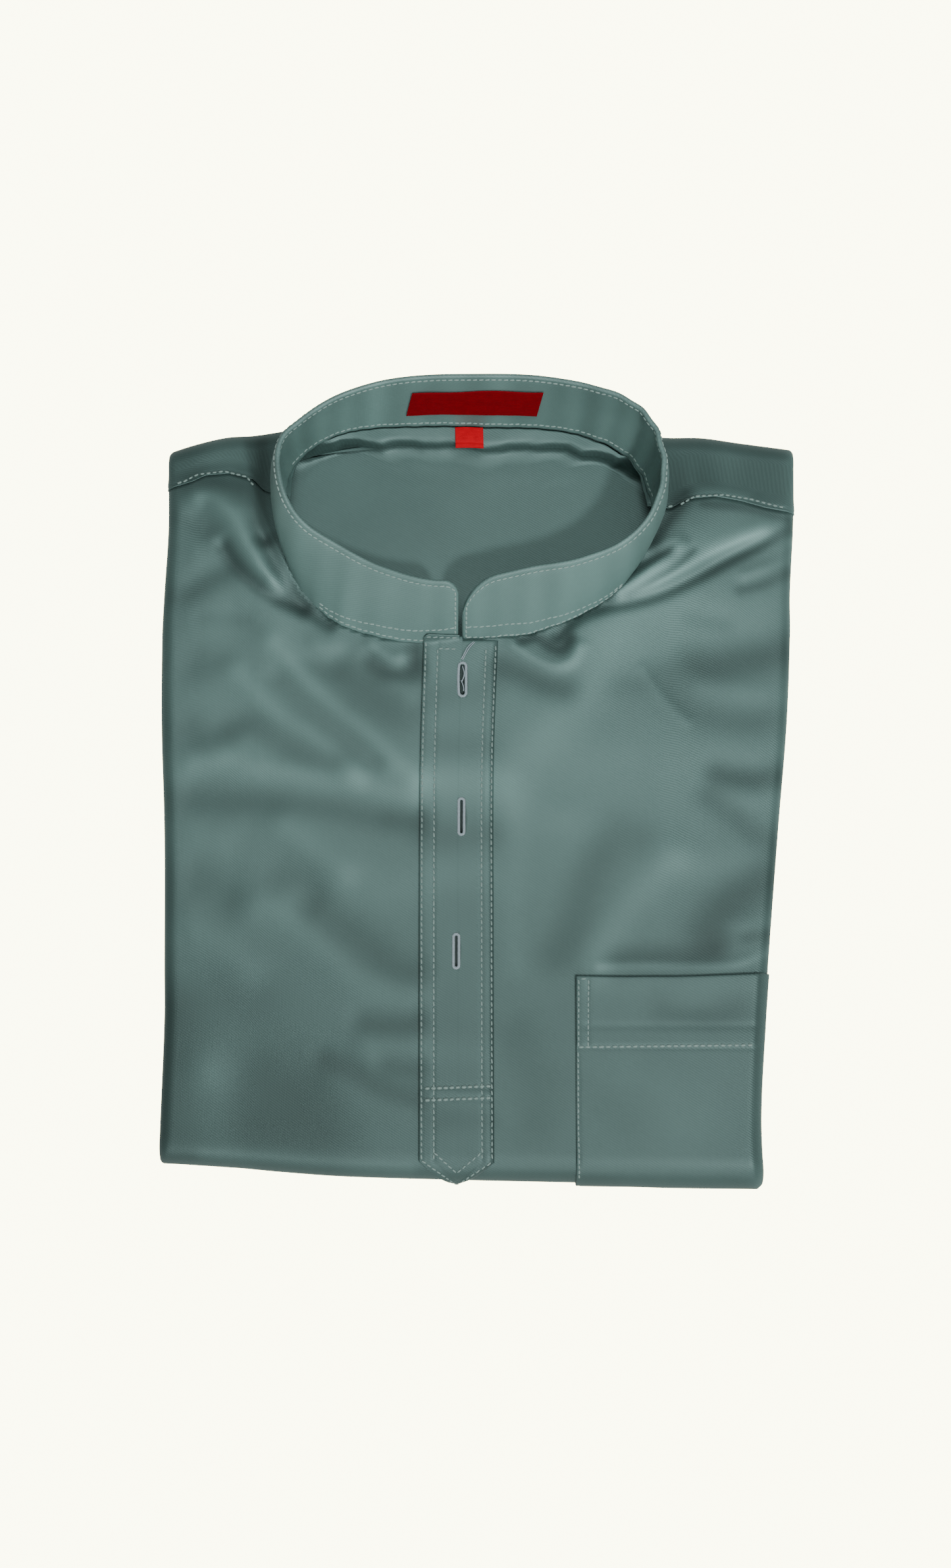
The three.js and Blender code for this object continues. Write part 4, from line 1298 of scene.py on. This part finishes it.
def band_grid(profile, station):
    """Points of the band, one row for each point of its section."""
    from_end = np.minimum(station, LAST_STATION - station) * END_STATION_LENGTH
    half = BAND_WALL / 2 * roundness(from_end, BAND_WALL / 2)
    grid = []
    for height, side in profile:
        share = height * band_share(station)
        below = (band_share(station) - share) * BAND_WIDTH
        drawn = groove(below - BAND_TOP_ROW, *BAND_GROOVE) * (abs(side) > 0.99)
        grid.append(band_point(station, share, BAND_WALL / 2 - side * (half + drawn)))
    return np.stack(grid)


def band_faces(rows, columns):
    """The band's skin, its narrow lower side and the caps of its two front ends."""
    bottom = np.arange(columns)
    top = (rows - 1) * columns + bottom
    under = np.stack([bottom[1:], bottom[:-1], top[:-1], top[1:]], axis=1)
    ends = []
    for side, turn in ((0, 1), (columns - 1, -1)):
        edge = np.arange(rows) * columns + side
        for k in range(rows // 2 - 1):
            cap = [edge[k], edge[k + 1], edge[rows - 2 - k], edge[rows - 1 - k]]
            ends.append(cap[::turn])
    return np.concatenate([quads(rows, columns), under, np.array(ends)])


def band_shade(station, amount, shades):
    """Painted shade and highlight on one side of the band: soft stripes and patches."""
    sway = amount * (np.sin(8.3 * station) + 0.7 * np.sin(5.1 * station + 1))
    return sway + sum(painted_shading * hill(station, middle, spread) for painted_shading, middle, spread in shades)


def collar_band():
    """The standing band, folded over at its top edge and at both front ends."""
    station = band_stations(BAND_COLUMNS)
    profile = band_profile()
    points = band_grid(profile, station)
    rows, columns = points.shape[:2]
    high = np.array([share * BAND_WIDTH for share, _ in profile])
    uv = gridded(distances(points[0]), high).reshape(-1, 2)
    points = points.reshape(-1, 3)
    faces = facing_out(points, band_faces(rows, columns))
    # Painted shading of the band, outside and inside
    outside = band_shade(station, OUTSIDE_SWAY, OUTSIDE_SHADES)
    inside = band_shade(station, INSIDE_SWAY, INSIDE_SHADES)
    shade = np.concatenate([outside if side > 0 else inside for _, side in profile])
    piece = make_object("standing_collar", points, faces, uv, lit_collar_cloth, shade)
    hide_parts("collar_band")
    return piece


def back_rows(station):
    """Rows of points from the neck's rim to its middle.

    At the back the seam holds the panel up in a soft strip. Further round the strip only
    hangs beside the band, and at the front the panel lies flat under the neck.
    """
    held = plateau(station, 8.9, 9.9, 14.3, 15.3)
    hung = plateau(station, 6.9, 8.9, 15.3, 17)
    base = band_point(station, np.zeros(len(station)))
    reach = lerp(FLOOR_REACH, -BAND_WALL - SEAM_GAP, hung)
    rim = (base + band_outward(station) * reach[:, None])[:, :2]
    length = np.linalg.norm(rim - NECK, axis=1)
    wave = 1 + 0.1 * np.sin(2.1 * station + 0.6) + 0.07 * np.sin(5.3 * station)
    height = hung * lerp(1, 0.97, np.sin(3 * station))

    def plan(inwards):
        return rim + (NECK - rim) * (inwards / length)[:, None]

    def strip_reach(distance, share):
        steep = lerp(DROP_END * share, 0.3 * distance + 1.5 * share, hung)
        return lerp(steep, distance * wave, held)

    rows = []
    shares = np.linspace(0, 1, DROP_ROWS)
    strip = curve_through(BACK_DROP)(shares * (len(BACK_DROP) - 1))
    for (distance, drop), share in zip(strip, shares):
        z = FLOOR_LEVEL + drop * height
        z += hung * (base[:, 2] + RIM_RISE - z) * (1 - smooth(share, 0, 0.35))
        rows.append(np.column_stack([plan(strip_reach(distance, share)), z]))
    for share in np.linspace(0, 1, BACK_FLOOR_ROWS)[1:]:
        x, y = plan(lerp(strip_reach(DROP_END, 1), length, share)).T
        wavy = 0.5 * np.sin(x / 19) * np.sin(y / 23) * min(1, 4 * share)
        rows.append(np.column_stack([x, y, FLOOR_LEVEL + wavy]))
    return np.stack(rows)


def back_body():
    """The back panel seen through the neck, with the soft strip below its seam."""
    outer = back_rows(np.linspace(0, LAST_STATION, BACK_COLUMNS))
    rows, count = outer.shape[:2]
    offset = rows * count
    points = np.concatenate([outer, outer - [0, 0, CLOTH]]).reshape(-1, 3)
    front = quads(rows, count, round_rows=True)
    back = quads(rows, count, round_rows=True, offset=offset)[:, ::-1]
    faces = np.concatenate([front, back, joining(np.arange(count), offset)])
    faces = facing_out(points, faces)
    uv = points[:, :2]
    piece = make_object("back_panel", points, faces, uv, shirt_cloth)
    weld_middle(piece)
    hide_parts("back_body")
    return piece


def band_rise(x, y):
    """How far the top of the placket is lifted by the collar's left front end."""
    base_y = np.interp(x, [-26.3, -9.6], [61.8, 63.8])
    slope = np.maximum(0, y - base_y + 0.4) * 1.3
    over_step = x < PLACKET_TOP["step_x"] + 0.3
    return np.where(over_step, np.maximum(0, slope - 0.4), 0)


def placket_surface(x, y, out=SEAM_GAP + PLACKET_CLOTH):
    """Points of the placket's upper side."""
    point = face_point(x, y, out)
    point[..., 2] += band_rise(x, y)
    return point


def placket_top(x):
    """Y of the placket's upper edge, with its small step."""
    step = smooth(x, PLACKET_TOP["step_x"] - 0.2, PLACKET_TOP["step_x"] + 0.2)
    return lerp(PLACKET_TOP["left"], PLACKET_TOP["right"], step)


def placket_corner(across):
    """How far the rounded upper left corner of the placket is below its top."""
    out = np.clip(1 - across / PLACKET_CORNER, 0, 1)
    return PLACKET_CORNER * (1 - np.sqrt(1 - out * out))


def slit_depth(x, y):
    """Depth of the slits inside the buttonholes."""
    depth = np.zeros(np.broadcast(x, y).shape)
    for middle, high, low, half, bow in BUTTONHOLES:
        share = np.clip((y - low) / (high - low), 0, 1)
        bulge = 4 * share * (1 - share)
        wide = np.maximum(0.1, (half - SLIT_LIP) * bulge**0.3)
        away = abs(x - middle + 0.6 * bow * bulge)
        inside = (y > low + 1) & (y < high - 1)
        depth += np.where(inside, np.clip(1.6 - away / wide, 0, 1), 0)
    return depth


def placket_columns():
    """Distances across the placket, closest together over the buttonholes."""
    across = steps(PLACKET_WIDTH, PLACKET_CELL[0])
    slits = np.linspace(*SLIT_COLUMNS)
    beside = (across < slits[0] - 0.1) | (across > slits[-1] + 0.1)
    return np.sort(np.concatenate([across[beside], slits]))


def placket_sewing(x, y, left, right):
    """How far the placket's stitch rows draw it in, with the fold between its cross rows."""
    drawn = 0.25 * hill(y, CROSS_FOLD, 2)
    for distance, side in PLACKET_ROWS:
        from_side = x - left if side == "left" else right - x
        drawn += groove(from_side - distance, *PLACKET_GROOVE)
    for row in CROSS_ROWS:
        drawn += groove(y - row, *CROSS_GROOVE)
    return drawn


def placket_painted_shading(points):
    """The satin's painted light and shade, with painted shadow in the slits."""
    return satin_painted_shading(points) - SLIT_SHADE * slit_depth(points[:, 0], points[:, 1])


def placket_grid(across, down):
    """v, x and y of the placket's points, and x of its left and right edges beside them."""
    u = across / PLACKET_WIDTH
    x_top = lerp(*PLACKET_SPAN, u)
    top = v_at(x_top, placket_top(x_top) - placket_corner(across))
    v = lerp(top[None, :], PLACKET_CORNER_V, down[:, None] / down[-1])
    tip = np.linspace(PLACKET_CORNER_V, PLACKET_TIP_V, TIP_ROWS)[1:]
    v = np.concatenate([v, tip[:, None] * np.ones(len(u))])
    narrow = np.clip((v - PLACKET_CORNER_V) / (PLACKET_TIP_V - PLACKET_CORNER_V), 0, 0.985)
    y = plan_y(v, np.full(v.shape, PLACKET_TIP_X))
    left = lerp(placket_left(y), PLACKET_TIP_X, narrow)
    right = lerp(placket_right(y), PLACKET_TIP_X, narrow)
    return v, lerp(left, right, u[None, :]), y, left, right


def placket():
    """The overlap of the front opening, pointed below and turned over the bottom fold."""
    across = placket_columns()
    down = steps(PLACKET_LENGTH, PLACKET_CELL[1])
    down = down[down < PLACKET_LENGTH - 1]
    v, x, y, left, right = placket_grid(across, down)
    from_top = np.append(down, np.full(TIP_ROWS - 1, 9.0))
    edge = np.minimum(across, PLACKET_WIDTH - across) * (right - left) / PLACKET_WIDTH
    edge = np.minimum(edge, from_top[:, None])
    edge[-1] = 0
    sewn = roundness(right - x, 3)
    full = roundness(edge, 0.7) * sewn
    drawn = (placket_sewing(x, y, left, right) - slit_depth(x, y)) * full
    middle = (SEAM_GAP + PLACKET_CLOTH / 2) * lerp(0.2, 1, sewn)
    rise = band_rise(x, y)

    def layer(out):
        point = cloth_point(share_across(x, v), v, out)
        point[..., 2] += rise
        return point

    outer = layer(middle + full * PLACKET_CLOTH / 2 + drawn)
    inner = layer(middle - full * PLACKET_CLOTH / 2)
    uv = cloth_uv(outer)
    piece = cloth_wall(
        "front_placket", outer, inner, uv, shirt_cloth, placket_painted_shading
    )
    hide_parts("placket")
    return piece


def placket_under():
    """The underlap behind the slit of the front."""
    width = UNDERLAP["right"] - UNDERLAP["left"]
    length = UNDERLAP["top"] - UNDERLAP["bottom"]
    across, along = steps(width, UNDERLAP_CELL[0]), steps(length, UNDERLAP_CELL[1])
    x = UNDERLAP["left"] + across[None, :]
    y = UNDERLAP["top"] - along[:, None]
    full = roundness(from_edges(across, along))
    middle = -CLOTH * 1.5 - SEAM_GAP
    outer = face_point(x, y, middle + full * CLOTH / 2)
    inner = face_point(x, y, middle - full * CLOTH / 2)
    uv = cloth_uv(outer)
    piece = cloth_wall("placket_underlap", outer, inner, uv, shirt_cloth)
    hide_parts("placket_under")
    return piece


def pocket_top(x):
    """The mouth of the pocket sags a little in its middle."""
    share = np.clip((x - POCKET["left"]) / (POCKET["right"] - POCKET["left"]), 0, 1)
    return lerp(POCKET["left_top"], POCKET["right_top"], share) - 3.2 * share * (1 - share)


def pocket_out(x, y):
    """How far the pocket's face stands off the front, with its hem and stitch rows."""
    hem = 0.5 * smooth(y, POCKET_HEM_ROW - 0.8, POCKET_HEM_ROW + 0.8)
    mouth = 0.5 * hill(y, pocket_top(x), 7)
    crease = -0.25 * hill(y, POCKET_CREASE, 1.6)
    sag = -0.4 * hill(x, 94, 16) * hill(y, -100, 5)
    low = 0.35 * np.sin(x / 11 + 1) * hill(y, -140, 18)
    across = x - POCKET["left"]
    rows = groove(y - POCKET_HEM_ROW, *HEM_GROOVE) + groove(across - 1.1, *POCKET_GROOVE)
    rows += groove(across - 5.4, *POCKET_GROOVE) * smooth(y, -116, -115)
    return SEAM_GAP + CLOTH + hem + mouth + crease + sag + rows + low


def pocket_surface(x, y):
    """Points of the pocket's upper side."""
    return face_point(x, y, pocket_out(x, y))


def pocket_grid():
    """u of the pocket's columns, its u and v all over, and distance from its edges."""
    across = steps(POCKET_WIDTH, POCKET_CELL[0])
    face = across[across < POCKET_WIDTH - 0.6] / POCKET_WIDTH
    columns = np.concatenate([face, np.linspace(1, POCKET_WRAP_U, 12)])
    x = lerp(POCKET["left"], right_edge(-120), np.clip(columns, 0, 1))
    down = np.append(steps(POCKET_HEIGHT, POCKET_CELL[1])[:-5], POCKET_HEIGHT)
    roll = np.linspace(3, POCKET_WRAP_V, 18)[1:]
    v = lerp(v_at(x, pocket_top(x))[None, :], 3, down[:, None] / POCKET_HEIGHT)
    v = np.concatenate([v, roll[:, None] * np.ones(len(columns))])
    start = share_across(np.full(v.shape, POCKET["left"]), v)
    u = np.where(columns > 1, columns, lerp(start, 1, columns))
    below = np.concatenate([down, POCKET_HEIGHT + 20 * (roll - 3)])[:, None]
    edge = np.minimum(np.minimum(columns, 1) * POCKET_WIDTH, below)
    edge = np.minimum(edge, (v.max() - v) * 30)
    behind = (POCKET_WRAP_U - np.maximum(columns, 1)) * 16
    return u, v, np.minimum(edge, np.where(columns < 1, behind + 9, behind))


def pocket():
    """The patch pocket, turned round the right side fold and under the bottom fold."""
    u, v, edge = pocket_grid()
    base = cloth_point(u, v)
    full = roundness(edge, 0.7)
    turned = smooth(u, 0.97, 1.2)
    out = lerp(pocket_out(base[..., 0], base[..., 1]), 0.8, turned)
    middle = lerp(SEAM_GAP + CLOTH / 2, 0.5, turned)
    outer = cloth_point(u, v, lerp(middle, out, full))
    inner = cloth_point(u, v, middle - full * (middle - SEAM_GAP / 2))
    uv = cloth_uv(outer)
    piece = cloth_wall("patch_pocket", outer, inner, uv, shirt_cloth, satin_painted_shading)
    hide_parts("pocket")
    return piece


def main_label():
    """The woven neck label sewn inside the band, left bare."""
    length, high = NECK_LABEL
    across, along = steps(length, 1, 0.3), steps(high, 0.9, 0.3)
    share, up = across[None, :] / length, along[:, None] / high
    low = lerp(*LABEL_LOW, share) + 0.008 * np.sin(9 * share)
    top = lerp(*LABEL_TOP, share) + 0.012 * np.sin(11 * share + 1) + 0.03 * share**6
    station = lerp(*LABEL_STATIONS, share) + 0.1 * (up - 0.5)
    full = roundness(from_edges(across, along), 0.3)
    wave = 0.25 + 0.22 * np.sin(8 * share + 0.5)
    middle = BAND_WALL + 0.35 + LABEL_CLOTH / 2 + wave
    outer = band_point(station, lerp(low, top, up), middle + full * LABEL_CLOTH / 2)
    inner = band_point(station, lerp(low, top, up), middle - full * LABEL_CLOTH / 2)
    uv = gridded(across, along)
    piece = cloth_wall("neck_label", outer, inner, uv, neck_label_cloth)
    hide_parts("main_label")
    return piece


def size_label():
    """The small folded label under the back neck seam, left bare."""
    width, length = SMALL_LABEL
    across, along = steps(width, 0.7, 0.25), steps(length, 0.4, 0.25)
    down = along[:, None]
    x = SMALL_LABEL_LEFT + across[None, :] + 0.25 * down / length
    y = SMALL_LABEL_TOP - down + 0.15 * np.sin(across[None, :] / 3)
    level = THICKNESS - BAND_TUCK + 1 + 0.35 * np.sin(down / length * math.pi)
    level = level - 0.3 * hill(down, 7.2, 0.5)
    full = roundness(from_edges(across, along), 0.25)

    def layer(side):
        return np.stack(np.broadcast_arrays(x, y, level + side * full * 0.45), axis=-1)

    uv = gridded(across, along)
    piece = cloth_wall("small_label", layer(1), layer(-1), uv, small_label_cloth)
    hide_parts("size_label")
    return piece


def edge_ring(side, z, count=360):
    """One closed line round the packet, set back from its sides, at a height."""
    quarter = count // 4
    t = np.linspace(0, 1, quarter, endpoint=False)
    low_y, high_y = SIDE_EDGES[-1][0], SIDE_EDGES[0][0]
    ends = 1 + 0.25 * side
    bottom_x = lerp(left_edge(low_y) + side, right_edge(low_y) - side, t)
    top_x = lerp(right_edge(high_y) - side, left_edge(high_y) + side, t)
    right_y = lerp(face_end(bottom_x[-1]) + ends, face_start(top_x[0]) - ends, t)
    left_y = lerp(face_start(top_x[-1]) - ends, face_end(bottom_x[0]) + ends, t)
    x = np.concatenate([bottom_x, right_edge(right_y) - side, top_x, left_edge(left_y) + side])
    y = np.concatenate([face_end(bottom_x) + ends, right_y, face_start(top_x) - ends, left_y])
    turn = np.linspace(0, 2 * math.pi, count, endpoint=False)
    wave = 0.18 * np.sin(11 * turn + 2 * z) + 0.12 * np.sin(29 * turn + z)
    return np.column_stack([x, y, z + 0.4 * wave])


def layer_edges():
    """Closed lines up the heap's side: its narrow base, then three rounded layers."""
    low, high = 2 * UNDER_ROLL + SEAM_GAP, LIP_LEVEL - SEAM_GAP
    height = (high - low) / len(LAYER_EDGES)
    rings = [edge_ring(LAYER_BASE, CLOTH + SEAM_GAP), edge_ring(LAYER_BASE, low - 0.4)]
    for i, side in enumerate(LAYER_EDGES):
        for a in np.linspace(-math.pi / 2, math.pi / 2, 9):
            z = low + height * (i + 0.5) + (height / 2 - 0.05) * math.sin(a)
            rings.append(edge_ring(side + 1.2 * (1 - math.cos(a)), z))
    return np.stack(rings)


def hollow_line(count):
    """The plan of the hollow under the neck, between an oval and a rectangle."""
    turn = np.linspace(0, 2 * math.pi, count, endpoint=False) - 2.1
    ways = np.column_stack([np.cos(turn), np.sin(turn)])
    return HOLLOW_CENTRE + HOLLOW_HALF * np.sign(ways) * abs(ways) ** HOLLOW_ROUNDNESS


def flat_ring(start, end, share, z):
    """A level line part of the way from one plan to another."""
    return np.column_stack([lerp(start, end, share), np.full(len(start), z)])


def layers():
    """Sleeves, back and hem folded inside, as one soft heap with layered edges."""
    side = layer_edges()
    base, top = side[0, :, :2], side[-1, :, :2]
    hollow = hollow_line(side.shape[1])
    brim = LIP_LEVEL - SEAM_GAP - 0.1
    under, floor = CLOTH + SEAM_GAP, FLOOR_LEVEL - CLOTH - SEAM_GAP
    rings = [flat_ring(base, np.zeros(2), share, under) for share in (1, 0.6, 0.3)]
    rings += list(side)
    rings += [flat_ring(top, hollow, share, brim) for share in np.linspace(0, 1, 14)[1:]]
    rings += [flat_ring(hollow, HOLLOW_CENTRE, share, floor) for share in (0.01, 0.5, 1)]
    points = np.concatenate(rings)
    faces = facing_out(points, quads(len(rings), len(hollow), round_rows=True))
    uv = points[:, :2]
    piece = make_object("folded_layers_piled", points, faces, uv, shirt_cloth)
    weld_middle(piece)
    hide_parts("folded_layers")
    return piece


# Sewing


def collar_rows():
    """Topstitching of the band: along its top and ends, above its seam, and inside."""
    from_top = BAND_TOP_ROW / BAND_WIDTH
    start = BAND_END_ROW / END_STATION_LENGTH
    stop = LAST_STATION - start
    rows = []

    def row(station, share, inset=-THREAD_LIFT):
        side = 1 if inset <= 0 else -1
        line = band_point(station, share, inset)
        rows.append((line, band_normal(station, share) * side, *COLLAR_STITCH))

    station = np.linspace(start, stop, 900)
    top = band_share(station) - from_top
    row(station, top)
    row(station, top, BAND_WALL + THREAD_LIFT)
    for end in (station[:1], station[-1:]):
        share = np.linspace(0.04, band_share(end)[0] - from_top, 60)
        row(np.full(60, end[0]), share)
    left = np.linspace(0.1, 3.3, 200)
    row(left, np.interp(left, *np.array(LEFT_FOOT_ROW).T))
    row(left[30:], np.full(170, 0.075))
    right = np.linspace(19.9, LAST_STATION - 0.1, 200)
    row(right, np.interp(right, *np.array(RIGHT_FOOT_ROW).T))
    row(right, np.full(200, 0.05))
    row(np.linspace(7.2, 17.4, 500), np.full(500, 0.07), BAND_WALL + THREAD_LIFT)
    return rows


def placket_rows():
    """Stitching along both sides of the placket, round its ends and across it."""
    y = np.linspace(62.5, -163.5, 300)
    rows = []

    def row(x, y, stitch=PLACKET_STITCH):
        rows.append((*on_surface(placket_surface, x, y), *stitch))

    for distance, side in PLACKET_ROWS:
        high = 63.6 if side == "left" and distance < 2 else 61.5
        reach = y[y < high - 2 * (distance > 2)]
        if side == "left":
            row(placket_left(reach) + distance, reach)
        else:
            row(placket_right(reach) - distance, reach)
    for chain in PLACKET_CHAINS:
        row(*between(chain))
    for level in CROSS_ROWS:
        row(*between([(-24.2, level - 0.6), (4.6, level + 0.5)]), CROSS_STITCH)
    return rows


def pocket_rows():
    """Stitching down the pocket's left side, round its corner and along its hem."""
    left, hem = POCKET["left"], POCKET_HEM_ROW
    chains = (
        ([(left + 1.3, -86.6), (left + 1.1, hem)], POCKET_STITCH),
        ([(left + 5.6, -86.6), (left + 5.2, hem)], POCKET_STITCH),
        ([(left + 1.3, -86.4), (left + 5.6, -86.5)], POCKET_STITCH),
        ([(left + 0.8, hem), (120.5, hem + 0.9)], HEM_STITCH),
        ([(left + 0.9, hem - 2), (left + 0.8, -150), (left + 1.2, -171)], POCKET_STITCH),
    )
    return [(*on_surface(pocket_surface, *between(chain)), *stitch) for chain, stitch in chains]


def shoulder_rows():
    """Stitching of both shoulder seams, on the rolled edge of the yoke."""
    rows = []
    for start, stop, count, from_seam, stitch in SHOULDER_ROWS:
        x = np.linspace(start, stop, count)
        rows.append((*on_surface(yoke_surface, x, seam_y(x) + from_seam), *stitch))
    return rows


def yoke_surface(x, y):
    """Points of the yoke's rolled edge."""
    return face_point(x, y, YOKE_STITCH_LEVEL)


def thread_skin(line, normals, wide, high, closed):
    """A thread laid on the cloth: rings of points along a line, closed or with capped ends."""
    after, before = np.roll(line, -1, axis=0), np.roll(line, 1, axis=0)
    if not closed:
        after[-1], before[0] = line[-1], line[0]
    across = unit(np.cross(normals, unit(after - before)))
    turn = np.linspace(0, 2 * math.pi, THREAD_SIDES, endpoint=False)
    side = across[:, None] * np.cos(turn)[None, :, None] * wide[:, None, None]
    rise = normals[:, None] * np.sin(turn)[None, :, None] * high[:, None, None]
    points = (line[:, None] + side + rise).reshape(-1, 3)
    faces = quads(len(line), THREAD_SIDES, round_rows=True)
    if closed:
        last = np.arange(THREAD_SIDES) + len(points) - THREAD_SIDES
        first = np.arange(THREAD_SIDES)
        closing = [last, np.roll(last, -1), np.roll(first, -1), first]
        faces = np.concatenate([faces, np.stack(closing, axis=-1)])
    else:
        cap = np.array([[0, 7, 2, 1], [2, 7, 6, 3], [3, 6, 5, 4]])
        faces = np.concatenate([faces, cap, cap[:, ::-1] + len(points) - THREAD_SIDES])
    return points, facing_out(points, faces)


def joined(parts):
    """One mesh from several."""
    starts = np.cumsum([0] + [len(points) for points, _ in parts[:-1]])
    faces = np.concatenate([f + start for (_, f), start in zip(parts, starts)])
    return np.concatenate([points for points, _ in parts]), faces


def buttonhole(middle, high, low, half, bow):
    """Thread wrapped close round both lips of a slit."""
    wide = half - HOLE_THREAD
    straight = high - low - 2 * half
    bend = math.pi * wide
    s = np.linspace(0, 2 * (straight + bend), 320, endpoint=False)
    parts = [s < straight, s < straight + bend, s < 2 * straight + bend]
    turn = np.where(parts[1], s - straight, s - 2 * straight - bend) / wide
    x = np.select(parts, [-wide, -wide * np.cos(turn), wide], wide * np.cos(turn))
    up, round_top = low + half + s, high - half + wide * np.sin(turn)
    down, round_low = high - half - (s - straight - bend), low + half - wide * np.sin(turn)
    y = np.select(parts, [up, round_top, down], round_low)
    share = np.clip((y - low) / (high - low), 0, 1)
    gape = bow * 4 * share * (1 - share)
    x = middle + x * (1 + 0.3 * gape) - 0.4 * gape
    line, normals = on_surface(placket_surface, x, y, 0.12)
    wrap = 1 + 0.14 * np.sin(2 * math.pi * s / WRAP_PITCH)
    return thread_skin(line, normals, HOLE_THREAD * wrap, HOLE_THREAD_HEIGHT * wrap, True)


def loose_thread(places, lift):
    """A stray end of thread lying over the placket."""
    share = np.linspace(0, 1, 60)
    x, y = curve_through(places)(share * (len(places) - 1)).T
    line, normals = on_surface(placket_surface, x, y, 0)
    rise = 0.15 + lift * np.sin(math.pi * share)
    round_end = np.sqrt(np.clip(np.minimum(share, 1 - share) * 30, 0.05, 1))
    thick = STRAY_THREAD * round_end
    return thread_skin(line + normals * rise[:, None], normals, thick, thick, False)


def buttonhole_threads():
    """The three bound buttonholes and the stray threads, as one piece."""
    parts = [buttonhole(*row) for row in BUTTONHOLES]
    parts += [loose_thread(places, lift) for lift, *places in STRAY_THREADS]
    points, faces = joined(parts)
    uv = points[:, :2]
    return make_object("buttonhole_thread", points, faces, uv, blue_thread)


# Camera, floor and light


def add_camera():
    data = bpy.data.cameras.new("camera")
    data.sensor_width = CAMERA_SENSOR
    data.lens = CAMERA_LENS
    camera = bpy.data.objects.new("camera", data)
    bpy.context.collection.objects.link(camera)
    back = Vector((0, -math.sin(CAMERA_LEAN), math.cos(CAMERA_LEAN)))
    camera.location = TARGET + back * CAMERA_DISTANCE
    camera.rotation_euler = (CAMERA_LEAN, 0, 0)
    bpy.context.scene.camera = camera


def add_floor():
    """A plain pale floor that looks bright to the camera alone."""
    bpy.ops.mesh.primitive_plane_add(size=8)
    floor = bpy.context.object
    floor.name = "floor"
    material, tree, shader = new_material("pale_floor")
    place = node(tree, "ShaderNodeTexCoord").outputs["Object"]
    looks = {
        "Base Color": varied(tree, noise(tree, place, 2, 2), FLOOR, 0.99, 1),
        "Roughness": 0.9,
        "Specular IOR Level": 0.1,
    }
    fill(tree, shader, looks)
    glow = node(tree, "ShaderNodeEmission", {"Color": scaled_colour(FLOOR_GLOW, 1)})
    seen = node(tree, "ShaderNodeLightPath").outputs["Is Camera Ray"]
    lit = node(tree, "ShaderNodeMixShader", {0: seen, 1: shader.outputs[0], 2: glow.outputs[0]})
    fill(tree, tree.nodes["Material Output"], {"Surface": lit.outputs[0]})
    floor.data.materials.append(material)


def add_light(name, place, size, power):
    data = bpy.data.lights.new(name, "AREA")
    data.shape = "DISK"
    data.size = size
    data.energy = power
    light = bpy.data.objects.new(name, data)
    bpy.context.collection.objects.link(light)
    light.location = place
    light.rotation_euler = (LIGHT_AIM - Vector(place)).to_track_quat("-Z", "Y").to_euler()


def add_world():
    world = bpy.data.worlds.new("studio")
    world.use_nodes = True
    back = world.node_tree.nodes["Background"]
    back.inputs["Color"].default_value = scaled_colour(DAYLIGHT, 1)
    back.inputs["Strength"].default_value = WORLD_STRENGTH
    bpy.context.scene.world = world


bpy.ops.object.select_all(action="DESELECT")
add_camera()
add_floor()
add_world()
for light in LIGHTS:
    add_light(*light)

layers()
front_body()
yoke()
back_body()
collar_band()
placket()
placket_under()
pocket()
main_label()
size_label()
stitches("collar_stitches", collar_rows(), collar_thread)
stitches("placket_stitches", placket_rows(), sage_thread)
stitches("pocket_stitches", pocket_rows(), sage_thread)
stitches("shoulder_stitches", shoulder_rows(), sage_thread)
buttonhole_threads()
